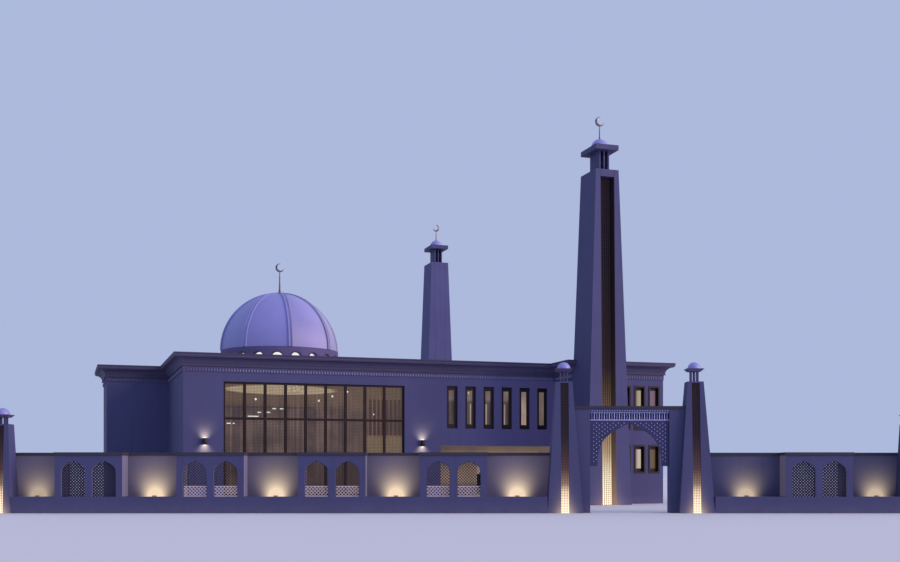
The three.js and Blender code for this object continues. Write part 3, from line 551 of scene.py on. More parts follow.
def concrete_finish(name):
    """Weathered slabs with a grid of joints, lit from below over the porch."""
    finish = Finish(name, Emission_Strength=1.0)
    x, y, z = finish.axes
    cloud = finish.noise(0.5, 5.0, 0.6)
    grain = finish.noise(24.0, 3.0, 0.7)
    pool = finish.noise(0.16)
    bay, half_bay_less_joint = 2.0, 0.985
    across, along = (abs(axis % bay - bay / 2).above(half_bay_less_joint) for axis in (x, y))
    joints = across.at_least(along)
    tone = 0.78 + cloud * 0.4 + (grain - 0.5) * 0.3 - joints * 0.3 - pool.rise(0.55, 0.62) * 0.12
    return finish.set(Base_Color=finish.scaled(colours().concrete, tone), Roughness=0.8 + grain * 0.15,
                      Emission_Color=soffit_light(finish, x, y, z),
                      Normal=finish.bumped(grain * 0.5 - joints, 0.005, 0.5))


# Short bright lines in the hall, painted highlights of its lamps: left end, right end and level
HALL_STREAKS = ((3.89, 4.54, 5.46), (4.47, 4.71, 5.71), (5.02, 5.26, 5.72), (5.39, 5.62, 5.96),
                (5.86, 6.08, 5.96), (2.61, 2.85, 5.01), (2.98, 3.08, 5.01))
# Small bright spots in the hall, painted highlights of its lamps: place along the front, level and radius
HALL_SPARKS = ((4.37, 6.52, 0.09), (8.3, 6.5, 0.08), (9.16, 6.79, 0.08), (10.13, 7.09, 0.07),
               (11.82, 5.7, 0.06))


def hall_glass_finish(name):
    """Glass of the prayer hall with its lit room behind: ceiling, hangings, and painted highlights of its
    lamps.
    """
    finish = Finish(name, Emission_Strength=1.0, Base_Color=(0.02, 0.016, 0.014))
    x, y, z = finish.axes
    broad = finish.noise(0.55, 2.0, stretch=(1.0, 0.0, 1.0))
    folds = finish.noise(1.0, 2.0, stretch=(6.5, 0.0, 0.12))
    cells = finish.noise(2.6, stretch=(1.0, 0.0, 0.5))
    dots = finish.node("TexVoronoi", {"feature": "F1"},
                       {"Vector": finish.stretched((1.0, 0.0, 1.0)), "Scale": 9.0, "Randomness": 0.8})
    curtain = finish.ramp(broad * 0.5 + folds * 0.5,
                          [(0.34, srgb(58, 46, 48)), (0.48, srgb(86, 69, 65)), (0.64, srgb(120, 98, 88))])
    low_right = x.rise(11.2, 11.5) * (1.0 - z.rise(4.2, 4.5))
    slat_pitch = 0.27
    slats = abs(x % slat_pitch - slat_pitch / 2).rise(0.045, 0.07) * x.above(11.42) * z.within(4.38, 6.65)
    bowl = ((x - 5.9) / 3.5) ** 2.0 + ((z - 7.12) / 0.3) ** 2.0
    ceiling = 1.0 - bowl.rise(0.8, 1.1)
    dotted = (1.0 - dots.rise(0.2, 0.4)) * x.within(6.29, 7.3) * z.within(7.0, 7.39)
    rail = z.near(6.03, 0.035) * x.below(8.0)
    streaks = sum(x.within(left, right) * z.near(level, 0.035) for left, right, level in HALL_STREAKS)
    sparks = sum(1.0 - (((x - across) ** 2.0 + (z - level) ** 2.0) ** 0.5).rise(radius * 0.6, radius)
                 for across, level, radius in HALL_SPARKS)
    # Painted highlights of the hall's lamps, on the front glass only
    lamps = ((streaks + sparks) * y.below(DEPTH / 2)).at_most(1.0)
    lit = finish.layered(
        curtain,
        (z.rise(5.9, 6.5) * 0.55, srgb(116, 94, 70)),
        (x.rise(9.2, 11.4) * 0.35, srgb(112, 94, 78)),
        (low_right * 0.85, srgb(130, 111, 90)),
        (slats * 0.75, srgb(66, 46, 44)),
        (ceiling * 0.9, srgb(186, 165, 134)),
        (dotted, (1.0, 0.95, 0.85)),
        (rail * 0.55, srgb(52, 40, 40)),
        (lamps, (1.0, 0.98, 0.92)))
    return finish.set(Roughness=0.06 + cells * 0.12, Emission_Color=finish.scaled(lit, 0.86 + cells * 0.28),
                      Normal=finish.bumped(broad, 0.01, 0.15))


def slim_glass_finish(name):
    """Glass of the slim windows, each with its own brightness, a curtain's edge in some and a painted lamp
    glare in one.
    """
    finish = Finish(name, Emission_Strength=1.0, Base_Color=(0.02, 0.017, 0.016))
    x, y, z = finish.axes
    drift = finish.noise(1.0, 2.0, stretch=(2.0, 2.0, 0.6))
    blind = finish.noise(1.0, 2.0, stretch=(18.0, 18.0, 0.4)) * 0.3 + 0.85

    # Any window takes a random brightness
    first, pitch, _ = LINK_ROW
    turn = ((x - first) / pitch + 0.5).floor()
    step = turn + ((y - SIDE_ROW[0]) / SIDE_ROW[1] + 0.5).floor() * 7.0
    room = finish.node("TexWhiteNoise", {"noise_dimensions": "1D"}, {"W": step * 3.7 + 2.0})
    any_level = 0.3 + room * 0.45 + (drift - 0.5) * 0.5

    # The six over the porch, turn 0 to 5 from the left, are as the photograph shows them
    inside = x - first - turn * pitch
    second, fifth, sixth = turn.near(1.0, 0.5), turn.near(4.0, 0.5), turn.above(4.5)
    shade = 0.12 + fifth * (0.72 - z.rise(5.9, 7.3) * 0.5) + sixth * 0.17
    top = z.rise(6.55, 6.85) * (1.0 - fifth) * (1.0 - sixth) * 0.2
    at = 0.11 - turn.above(1.5) * 0.17 + turn.above(2.5) * 0.03
    edge = inside.near(at, 0.045) * turn.within(0.5, 3.5) * z.below(6.5)
    # Painted glare of a lamp in the second window over the porch
    spot = inside.near(-0.03, 0.04) * z.near(7.2, 0.04) * second
    over_porch = x.within(16.3, 24.0) * y.below(1.0) * z.above(FIRST_FLOOR)
    level = any_level + (shade + top + edge * 0.5 + spot * 1.2 - any_level) * over_porch
    warm = finish.ramp(drift, [(0.3, srgb(162, 138, 126)), (0.6, srgb(194, 170, 162))])

    # The block shows its middle and its last window
    upper = z.above(FIRST_FLOOR)
    across = (x - BLOCK_ROW[0] - BLOCK_ROW[1]).rise(-0.12, 0.12)
    middle_pane = finish.mixed(upper, finish.mixed(across, srgb(134, 114, 104), srgb(190, 176, 158)),
                               finish.mixed(across, srgb(104, 88, 74), srgb(168, 156, 128)))
    last_pane = finish.mixed(upper, srgb(100, 82, 62), srgb(116, 94, 108))
    panes = finish.scaled(finish.mixed(x.above(29.5), middle_pane, last_pane), blind)
    block_front = x.above(LINK_END) * y.below(-2.0)
    lit = finish.mixed(block_front, finish.scaled(warm, level * blind), panes)
    return finish.set(Roughness=0.06 + drift * 0.12, Emission_Color=lit,
                      Normal=finish.bumped(drift, 0.01, 0.15))


def drum_glass_finish(name):
    """Glass of the drum, glowing with painted light, palest at its head."""
    finish = Finish(name, Emission_Strength=1.0, Base_Color=(0.05, 0.05, 0.06))
    haze = finish.noise(1.6)
    lit = finish.ramp(finish.axes[2].rise(9.4, 10.3) * 0.7 + haze * 0.3,
                      [(0.1, srgb(190, 176, 190)), (0.8, srgb(246, 236, 236))])
    return finish.set(Roughness=0.1 + haze * 0.1, Emission_Color=lit)


# Colours of the lit strips between their foot, 0, and their head, 1
MINARET_GLOW = [(0.09, srgb(255, 237, 203)), (0.16, srgb(197, 168, 135)), (0.28, srgb(113, 92, 74)),
                (0.42, srgb(45, 34, 43))]
PYLON_GLOW = [(0.09, srgb(252, 221, 190)), (0.16, srgb(228, 199, 169)), (0.22, srgb(135, 110, 93)),
              (0.33, srgb(74, 52, 56)), (0.6, srgb(32, 23, 33))]


def strip_glow_finish(name, stops, high, street=False):
    """Lit panel behind a lattice strip, brightest at its foot."""
    finish = Finish(name, street, Emission_Strength=1.0)
    z = finish.axes[2]
    soft = finish.noise(1.0, stretch=(3.0, 3.0, 0.8))
    glow = finish.ramp(z / high + (soft - 0.5) * 0.04, stops)
    return finish.set(Base_Color=finish.scaled((0.016, 0.011, 0.012), 0.6 + soft),
                      Emission_Color=finish.scaled(glow, 1.0 + (z / 2.6).fall() * 0.9),
                      Roughness=0.4 + soft * 0.2)


def finial_finish(name):
    """Tarnished metal."""
    finish = Finish(name, Metallic=0.85)
    tarnish = finish.noise(9.0, 4.0)
    body = finish.mixed(tarnish.rise(0.4, 0.7), (0.16, 0.15, 0.17), (0.06, 0.06, 0.09))
    return finish.set(Base_Color=body, Roughness=0.28 + tarnish * 0.25,
                      Normal=finish.bumped(tarnish, 0.001, 0.2))


def lamp_finish(name):
    """Lit lens of a lamp."""
    finish = Finish(name, Roughness=0.4, Emission_Strength=2.5, Base_Color=(0.8, 0.75, 0.7))
    lit = finish.mixed(finish.noise(20.0, 2.0), (1.0, 0.86, 0.68), (1.0, 0.93, 0.82))
    return finish.set(Emission_Color=lit)


def inlay_finish(name):
    """Light stones of the gate's screen, with a faint painted glow."""
    finish = Finish(name, street=True, Emission_Strength=1.0)
    haze = finish.noise(5.0)
    # Painted light: a faint blue glow on the stones
    return finish.set(Base_Color=finish.scaled((0.20, 0.22, 0.42), 0.8 + haze * 0.4),
                      Emission_Color=finish.scaled((0.05, 0.06, 0.14), 0.6 + haze * 0.6),
                      Roughness=0.25 + haze * 0.2)


def stage_finish(name):
    """Plain pale paper."""
    finish = Finish(name, Roughness=0.9)
    return finish.set(Base_Color=finish.scaled(colours().floor, 0.985 + finish.noise(0.08, 2.0) * 0.03))


FINISHES = {
    "lilac_render": (render_finish, {}),
    "hall_front_render": (render_finish, {"light": lamp_fans}),
    "porch_render": (render_finish, {"light": porch_light}),
    "porch_side_render": (render_finish, {"light": porch_side_light}),
    "link_render": (render_finish, {"light": link_light}),
    "inner_render": (render_finish, {"light": room_light}),
    # Painted light: a lighter copy of the render for the mihrab's front, which stands in the hall's shadow
    "mihrab_render": (render_finish, {"tint": (1.15,)}),
    # Painted light: a lighter, warmer copy of the render for the drum
    "drum_render": (render_finish, {"tint": (2.1, 1.65, 1.5)}),
    # Painted light: a lighter copy of the render for the dentils, paler still along the middle of the front
    "dentil_render": (render_finish, {"tint": (1.9, 1.8, 1.6), "over": painted_light_on_dentils}),
    "minaret_render": (render_finish, {"tint": (1.04,), "over": slot_jambs, "light": slot_light}),
    # Painted light: a lighter copy of the render for the far minaret, paled by the haze in front of it
    "far_minaret_render": (render_finish, {"tint": (1.36,), "over": slot_jambs, "light": slot_light}),
    "street_render": (render_finish, {"shade": "street", "light": bay_light, "street": True}),
    # Painted shade: a darker copy of the street render for the liners of the arches
    "street_trim": (render_finish, {"shade": "street", "tint": (0.9,), "street": True}),
    "gate_render": (render_finish, {"shade": "street", "over": gate_recess, "street": True}),
    "screen_render": (render_finish, {"shade": "screen", "street": True}),
    "arch_screen_render": (render_finish, {"shade": "screen", "tint": (0.5, 0.40, 0.38), "street": True}),
    "pylon_render": (render_finish, {"light": pylon_light, "street": True}),
    "cornice_render": (cornice_finish, {}),
    "coping_stone": (coping_finish, {}),
    "slab_concrete": (concrete_finish, {}),
    "dome_plaster": (dome_finish, {}),
    "dome_rib_plaster": (dome_finish, {"shadow": 0.16}),
    "pale_paint": (paint_finish, {"shade": "pale", "grime": 0.3}),
    "balustrade_paint": (paint_finish, {"shade": "balustrade", "glow": (0.115, 0.085, 0.11), "street": True}),
    "bronze_metal": (bronze_finish, {}),
    "window_bronze_metal": (bronze_finish, {"tint": (0.8, 0.6, 0.5)}),
    "minaret_lattice_metal": (lattice_finish, {"metal": (0.021, 0.013, 0.022), "glow": (0.34, 0.24, 0.14),
                                               "reach": 2.6}),
    "pylon_lattice_metal": (lattice_finish, {"metal": (0.009, 0.007, 0.010), "glow": (0.50, 0.40, 0.30),
                                             "reach": 0.7}),
    "finial_metal": (finial_finish, {}),
    "hall_glass": (hall_glass_finish, {}),
    "slim_glass": (slim_glass_finish, {}),
    "drum_glass": (drum_glass_finish, {}),
    "minaret_strip_glow": (strip_glow_finish, {"stops": MINARET_GLOW, "high": 20.5}),
    "pylon_strip_glow": (strip_glow_finish, {"stops": PYLON_GLOW, "high": 6.5, "street": True}),
    "lamp_light": (lamp_finish, {}),
    "screen_inlay": (inlay_finish, {}),
    "stage_paper": (stage_finish, {}),
}


@cache
def finish_of(name):
    """The finish of that name, made on its first use."""
    maker, settings = FINISHES[name]
    return maker(name, **settings)


def finished(mesh, *names):
    """Gives a mesh its finishes, in the order of its material slots."""
    mesh.materials.clear()
    for name in names:
        mesh.materials.append(finish_of(name))


def activate(piece):
    """Makes the piece the only one selected."""
    if bpy.context.mode != "OBJECT":
        bpy.ops.object.mode_set(mode="OBJECT")
    bpy.ops.object.select_all(action="DESELECT")
    piece.select_set(True)
    bpy.context.view_layer.objects.active = piece


def apply_place(piece):
    activate(piece)
    bpy.ops.object.transform_apply(location=True, rotation=True, scale=True)
    return piece


def placed(piece, place):
    """Moves a piece and keeps its place in its mesh."""
    piece.matrix_world = place @ piece.matrix_world
    return apply_place(piece)


def shifted(x, y, z):
    return Matrix.Translation((x, y, z))


def modified(piece, kind, **settings):
    """Adds a modifier, sets it and applies it."""
    activate(piece)
    modifier = piece.modifiers.new(kind.title(), kind)
    for key, value in settings.items():
        setattr(modifier, key, value)
    bpy.ops.object.modifier_apply(modifier=modifier.name)
    return piece


def repeated(piece, count, step):
    return modified(piece, "ARRAY", count=count, use_relative_offset=False, use_constant_offset=True,
                    constant_offset_displace=step)


def bevelled(piece, width, segments=1):
    return modified(piece, "BEVEL", width=width, segments=segments, limit_method="ANGLE",
                    angle_limit=math.radians(40))


def edit(piece):
    """Opens a piece in edit mode with all of it selected."""
    activate(piece)
    bpy.ops.object.mode_set(mode="EDIT")
    bpy.ops.mesh.select_all(action="SELECT")


def done():
    bpy.ops.object.mode_set(mode="OBJECT")


def closed_up(piece):
    """Merges doubles and turns the faces outwards."""
    edit(piece)
    bpy.ops.mesh.remove_doubles(threshold=0.0002)
    bpy.ops.mesh.normals_make_consistent(inside=False)
    done()
    return piece


def added(primitive, scale=(1.0, 1.0, 1.0), **settings):
    """A new primitive with its place in its mesh, and nothing else selected."""
    bpy.ops.object.select_all(action="DESELECT")
    primitive(**settings)
    piece = bpy.context.object
    piece.scale = scale
    return apply_place(piece)


def bar(x, y, z, bevel=0.0):
    """A straight bar or plate from its spans in x, y and z, with its edges taken off."""
    low, high = (Vector(corner) for corner in zip(x, y, z))
    piece = added(bpy.ops.mesh.primitive_cube_add, high - low, size=1.0, location=(low + high) / 2)
    return bevelled(piece, bevel) if bevel else piece


def joined(pieces):
    if len(pieces) > 1:
        activate(pieces[0])
        for piece in pieces[1:]:
            piece.select_set(True)
        bpy.ops.object.join()
    return pieces[0]


def twin_of(piece):
    """A copy with its own mesh."""
    twin = piece.copy()
    twin.data = piece.data.copy()
    bpy.context.scene.collection.objects.link(twin)
    return twin


def copied(piece, places):
    """Copies of a piece at several places, joined. The pattern itself goes."""
    made = [placed(twin_of(piece), place) for place in places]
    bpy.data.objects.remove(piece)
    return joined(made)


def ring(outer, inner, near, far):
    """An upright frame facing the front: outer and inner are (left, right, foot, head)."""
    left, right, foot, head = outer
    wide, high = right - left, head - foot
    centre = ((left + right) / 2, near, (foot + head) / 2)
    piece = added(bpy.ops.mesh.primitive_plane_add, (wide, high, 1.0), size=1.0, location=centre,
                  rotation=FACING_FRONT)
    start = min(wide, high) * 0.05
    edit(piece)
    bpy.ops.mesh.inset(thickness=start)
    left, right, foot, head = inner
    bpy.ops.transform.resize(center_override=centre, value=((right - left) / (wide - 2 * start), 1.0,
                                                            (head - foot) / (high - 2 * start)))
    bpy.ops.transform.translate(value=((left + right) / 2 - centre[0], 0.0, (foot + head) / 2 - centre[2]))
    bpy.ops.mesh.delete(type="FACE")
    done()
    return modified(piece, "SOLIDIFY", thickness=far - near, offset=-1.0, use_even_offset=True)


def drawn(points, shut, filled=False, thickness=0.0):
    """A line through points, or a filled flat shape in x and y, as a mesh."""
    line = bpy.data.curves.new("line", "CURVE")
    line.dimensions = "2D" if filled else "3D"
    line.fill_mode = "BOTH" if filled else "FULL"
    line.extrude = thickness / 2
    spline = line.splines.new("POLY")
    spline.points.add(len(points) - 1)
    for knot, point in zip(spline.points, points):
        knot.co = (*point, *([0.0] * (3 - len(point))), 1.0)
    spline.use_cyclic_u = shut
    piece = bpy.data.objects.new("line", line)
    bpy.context.scene.collection.objects.link(piece)
    activate(piece)
    bpy.ops.object.convert(target="MESH")
    return bpy.context.object


def plate(outline, near, far):
    """An upright plate with its outline in x and z."""
    piece = drawn(outline, True, filled=True, thickness=far - near)
    piece.rotation_euler = FACING_FRONT
    piece.location.y = (near + far) / 2
    return closed_up(apply_place(piece))


def turned(profile, steps=40):
    """A solid turned about the upright axis from (radius, height) points that start and end on it."""
    piece = drawn([(radius, 0.0, height) for radius, height in profile], False)
    edit(piece)
    bpy.ops.mesh.spin(steps=steps, angle=2 * math.pi, center=(0, 0, 0), axis=(0, 0, 1), dupli=False)
    done()
    return closed_up(piece)


def cut(piece, cutter, operation="DIFFERENCE"):
    modified(piece, "BOOLEAN", operation=operation, object=cutter, solver="EXACT")
    bpy.data.objects.remove(cutter)
    return piece


def lattice(wide, high, columns, rows, bar_width, near, far, turn=0.0):
    """A plate of square holes in x and z, centred on the origin, with its bars at an angle."""
    piece = added(bpy.ops.mesh.primitive_grid_add, (wide, high, 1.0), size=1.0, x_subdivisions=columns,
                  y_subdivisions=rows, location=(0.0, near, 0.0), rotation=FACING_FRONT)
    edit(piece)
    bpy.ops.mesh.inset(thickness=bar_width / 2, use_individual=True)
    bpy.ops.mesh.delete(type="FACE")
    done()
    modified(piece, "SOLIDIFY", thickness=far - near, offset=-1.0)
    return placed(piece, Matrix.Rotation(turn, 4, "Y"))


def smoothed(piece, angle=30.0):
    activate(piece)
    bpy.ops.object.shade_smooth_by_angle(angle=math.radians(angle))
    return piece


def solid_copy(node):
    """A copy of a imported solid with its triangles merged, still in the row frame."""
    piece = bpy.data.objects.new(node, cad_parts[node].data.copy())
    bpy.context.scene.collection.objects.link(piece)
    activate(piece)
    bpy.ops.mesh.customdata_custom_splitnormals_clear()
    edit(piece)
    bpy.ops.mesh.remove_doubles(threshold=0.00001)
    done()
    return smoothed(piece)


def hand_in(piece, name, place, finish, slot, *replaced):
    """Names a finished piece, brings it into the row frame and lets it ride on the building."""
    piece.name = name
    piece.data.name = name
    placed(piece, place)
    if finish is not None:
        finished(piece.data, finish)
    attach(piece, "root")
    if replaced:
        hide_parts(*replaced)


def arch_outline(half, foot, spring, apex, shoulder, reach, drop, steps=14):
    """Straight jambs and a pointed head, counter-clockwise from the left foot."""
    rise = apex - spring
    knots = [(half, spring), (half, spring + rise * shoulder), (half * reach, apex - rise * drop), (0.0, apex)]
    side = []
    for i in range(steps + 1):
        t = i / steps
        weights = ((1 - t) ** 3, 3 * (1 - t) ** 2 * t, 3 * (1 - t) * t * t, t ** 3)
        side.append(tuple(sum(w * k[axis] for w, k in zip(weights, knots)) for axis in (0, 1)))
    return [(-half, foot), (half, foot), *side, *[(-x, z) for x, z in reversed(side[:-1])]]


WALL_FINISH = {
    "inner_render": "link_back_wall block_front_wall block_back_wall right_wall",
    "lilac_render": ("hall_back_wall block_back_left_wall left_front_wall left_back_wall mihrab_back_wall "
                     "mihrab_left_wall minaret_front_lantern minaret_back_lantern"),
    "mihrab_render": "mihrab_front_wall",
    "link_render": "link_front_wall",
    "porch_side_render": "block_front_left_wall",
    "hall_front_render": "hall_front_wall",
    "porch_render": "porch_back_wall porch_left_wall",
    "street_render": "street_wall_left street_wall_right",
    "gate_render": "gate_wall",
    "minaret_render": "minaret_front_shaft",
    "far_minaret_render": "minaret_back_shaft",
    "coping_stone": "gate_coping street_coping_left street_coping_right",
    "slab_concrete": "ground_floor first_floor roof_slab",
    "window_bronze_metal": "hall_front_window hall_back_window",
    "minaret_strip_glow": "minaret_front_screen minaret_back_screen",
    "pale_paint": "gate_fins",
}

GLASS_FINISH = {
    "hall_glass": "hall_front_glass hall_back_glass",
    "slim_glass": ("link_front_glass link_back_upper_glass link_back_lower_glass block_front_upper_glass "
                   "block_front_lower_glass block_back_upper_glass block_back_lower_glass "
                   "right_upper_glass right_lower_glass"),
}


def dress(table):
    """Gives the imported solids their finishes."""
    for finish, names in table.items():
        for name in names.split():
            finished(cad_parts[name].data, finish)


class DressWalls(bpy.types.Operator):
    """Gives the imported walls, slabs, copings and window bars their finishes"""

    bl_idname = "mosque.dress_walls"
    bl_label = "Walls"

    def execute(self, context):
        dress(WALL_FINISH)
        return {"FINISHED"}


class DressGlass(bpy.types.Operator):
    """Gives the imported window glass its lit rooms"""

    bl_idname = "mosque.dress_glass"
    bl_label = "Glass"

    def execute(self, context):
        dress(GLASS_FINISH)
        return {"FINISHED"}


def slim_frame(wide, storeys, stile, lap):
    """Bronze frame of a slim window: a sash, and where lap isn't 0 an architrave and a lined reveal."""
    s = sizes()
    half, lining, proud, fit, bevel = wide / 2, 0.025, 0.03, 0.002, 0.008
    reveal, sash = 0.33, 0.06
    less = s.stile - stile
    parts = []
    for sill, head in storeys:
        shut = (-half + fit, half - fit, sill + fit, head - fit)
        pane = (-half + stile, half - stile, sill + s.foot_rail - less, head - s.top_rail + less)
        edge = shut
        if lap:
            edge = (-half + lining, half - lining, sill + lining, head - lining)
            outer = (-half - lap, half + lap, sill - lap, head + lap)
            parts.append(bevelled(ring(outer, edge, -proud, -fit), bevel))
            parts.append(ring(shut, edge, -fit, reveal))
        parts.append(bevelled(ring(edge, pane, s.sash_depth, s.sash_depth + sash), bevel))
    return joined(parts)


def row_places(row, fixed, turn):
    """Places of windows along a wall: turn 0 faces front, 180 back and 90 right."""
    first, pitch, count = row
    for along in (first + i * pitch for i in range(count)):
        at = (fixed, along, 0.0) if turn == 90 else (along, fixed, 0.0)
        yield Matrix.Translation(at) @ Matrix.Rotation(math.radians(turn), 4, "Z")


class SlimFrames(bpy.types.Operator):
    """Bronze frames of the slim windows on all sides"""

    bl_idname = "mosque.slim_frames"
    bl_label = "Slim window frames"

    def execute(self, context):
        s = sizes()
        wide = (0.74, s.stile, 0.0)
        narrow = (0.64, s.block_stile, s.block_lap)
        rows = {
            "link_front_frames": (wide, (UPPER,), LINK_ROW, 0.0, 0),
            "link_back_frames": (wide, (UPPER, LOWER), LINK_ROW, DEPTH, 180),
            "block_front_frames": (narrow, (UPPER, LOWER), BLOCK_ROW, -PROJECTION, 0),
            "block_back_frames": (narrow, (UPPER, LOWER), BLOCK_ROW, DEPTH + PROJECTION, 180),
            "right_frames": (wide, (UPPER, LOWER), SIDE_ROW, RIGHT_FACE, 90),
        }
        for name, ((width, stile, lap), storeys, *row) in rows.items():
            piece = copied(slim_frame(width, storeys, stile, lap), row_places(*row))
            hand_in(piece, name, BUILDING, "bronze_metal", "bronze")
        return {"FINISHED"}


class HallLattice(bpy.types.Operator):
    """Fine lattice of crossed bars in the bays of the hall windows"""

    bl_idname = "mosque.hall_lattice"
    bl_label = "Hall window lattice"

    def execute(self, context):
        s, w = sizes(), HALL_WINDOW
        edge, deep, near, half = 0.11, 0.012, 0.205, s.hall_bar / 2
        left, right = w["left"] + edge, w["right"] - edge
        foot, head = w["sill"] + edge, w["head"] - edge
        upright_count = int((right - left) / s.hall_mesh)
        level_count = int((head - foot) / s.hall_mesh)
        across = (right - left) / upright_count
        up = (head - foot) / level_count
        uprights = bar((left + across - half, left + across + half), (near, near + deep), (foot, head))
        repeated(uprights, upright_count - 1, (across, 0.0, 0.0))
        levels = bar((left, right), (near + deep, near + 2 * deep), (foot + up - half, foot + up + half))
        repeated(levels, level_count - 1, (0.0, 0.0, up))
        front = joined([uprights, levels])
        back = twin_of(front)
        centre = Vector(((w["left"] + w["right"]) / 2, DEPTH / 2, 0.0))
        about = Matrix.Translation(centre) @ Matrix.Rotation(math.pi, 4, "Z") @ Matrix.Translation(-centre)
        hand_in(front, "hall_front_lattice", BUILDING, "bronze_metal", "bronze")
        hand_in(back, "hall_back_lattice", BUILDING @ about, "bronze_metal", "bronze")
        return {"FINISHED"}


class Cornice(bpy.types.Operator):
    """Cornice with a smooth cove, and the row of dentils below it"""

    bl_idname = "mosque.cornice"
    bl_label = "Cornice"

    def execute(self, context):
        moulding = solid_copy("cornice")
        hand_in(moulding, "cornice_moulding", Matrix(), "cornice_render", "wall_render", "cornice")
        s = sizes()
        pitch, half, foot, out, sunk = s.dentil_pitch, 0.042, 8.14, 0.075, 0.02
        mihrab, near, far = MIHRAB
        corners = [
            (0.0, 0.0), (LINK_END, 0.0), (LINK_END, -PROJECTION), (RIGHT_FACE, -PROJECTION),
            (RIGHT_FACE, DEPTH + PROJECTION), (LINK_END, DEPTH + PROJECTION), (LINK_END, DEPTH),
            (0.0, DEPTH), (0.0, far), (-mihrab, far), (-mihrab, near), (0.0, near),
        ]
        runs = []
        for start, end in zip(corners, corners[1:] + corners[:1]):
            along = Vector(end) - Vector(start)
            count = int((along.length - 0.2) / pitch)
            inset = (along.length - (count - 1) * pitch) / 2
            tooth = bar((inset - half, inset + half), (-out, -sunk), (foot, foot + s.dentil_high), 0.01)
            repeated(tooth, count, (pitch, 0.0, 0.0))
            turn = Matrix.Rotation(math.atan2(along.y, along.x), 4, "Z")
            runs.append(placed(tooth, shifted(*start, 0.0) @ turn))
        hand_in(joined(runs), "cornice_dentils", BUILDING, "dentil_render", "wall_render")
        return {"FINISHED"}


RIB_COUNT = 8


def flatten_panels(shell, lines=12):
    """Draws the meridians between the ribs in, so that the dome has flatter panels."""
    step = 2 * math.pi / RIB_COUNT
    mesh = bmesh.from_edit_mesh(shell.data)
    for i in range(1, lines // 2 + 1):
        local = step * (0.5 - i / lines)
        scale = 1 + DOME_FLATNESS * (math.cos(step / 2) / math.cos(local) - 1)
        for vertex in mesh.verts:
            turn = (math.atan2(vertex.co.y, vertex.co.x) / step) % 1.0
            off = min(turn, 1.0 - turn) * lines
            vertex.select = vertex.co.xy.length > 0.001 and abs(off - i) < 0.25
        mesh.select_flush(False)
        mesh.select_flush_mode()
        bmesh.update_edit_mesh(shell.data)
        bpy.ops.transform.resize(value=(scale, scale, 1.0), center_override=(0, 0, 0))


class Dome(bpy.types.Operator):
    """Smooth dome shell with eight raised ribs and a crown boss"""

    bl_idname = "mosque.dome"
    bl_label = "Dome"

    def execute(self, context):
        centre = BUILDING @ shifted(DOME_AT.x, DOME_AT.y, SPRING)
        shell = added(bpy.ops.mesh.primitive_uv_sphere_add, segments=96, ring_count=48, radius=DOME_RADIUS)
        edit(shell)
        bpy.ops.mesh.bisect(plane_co=(0, 0, 0.0005), plane_no=(0, 0, 1), clear_inner=True)
        flatten_panels(shell)
        done()
        modified(shell, "SOLIDIFY", thickness=DOME_THICKNESS, offset=-1.0)
        hand_in(smoothed(shell, 18.0), "dome_shell", centre, "dome_plaster", "dome_plaster", "dome")

        # Half of a rib's section, from its root over its raised lip to its sunk middle
        r, half = DOME_RADIUS, sizes().rib_width / 2
        lip, slope = half * 0.48, 0.02
        side = [(r - 0.1, half), (r + 0.055, half), (r + 0.07, half - slope), (r + 0.07, lip),
                (r + 0.035, lip - slope)]
        section = [(x, -y) for x, y in side] + side[::-1]
        rib = drawn([(x, y, 0.001) for x, y in section], True)
        edit(rib)
        bpy.ops.mesh.edge_face_add()
        bpy.ops.mesh.spin(steps=32, angle=math.pi / 2, center=(0, 0, 0), axis=(0, 1, 0), dupli=False)
        done()
        closed_up(rib)
        turns = [Matrix.Rotation(2 * math.pi * i / RIB_COUNT, 4, "Z") for i in range(RIB_COUNT)]
        top = r + 0.03
        boss = turned([(0.0, top - 0.05), (0.42, top - 0.05), (0.42, top + 0.012), (0.36, top + 0.036),
                       (0.14, top + 0.04), (0.0, top + 0.04)])
        bands = smoothed(joined([copied(rib, turns), boss]), 35.0)
        hand_in(bands, "dome_bands", centre, "dome_rib_plaster", "dome_plaster", "dome_ribs")
        return {"FINISHED"}


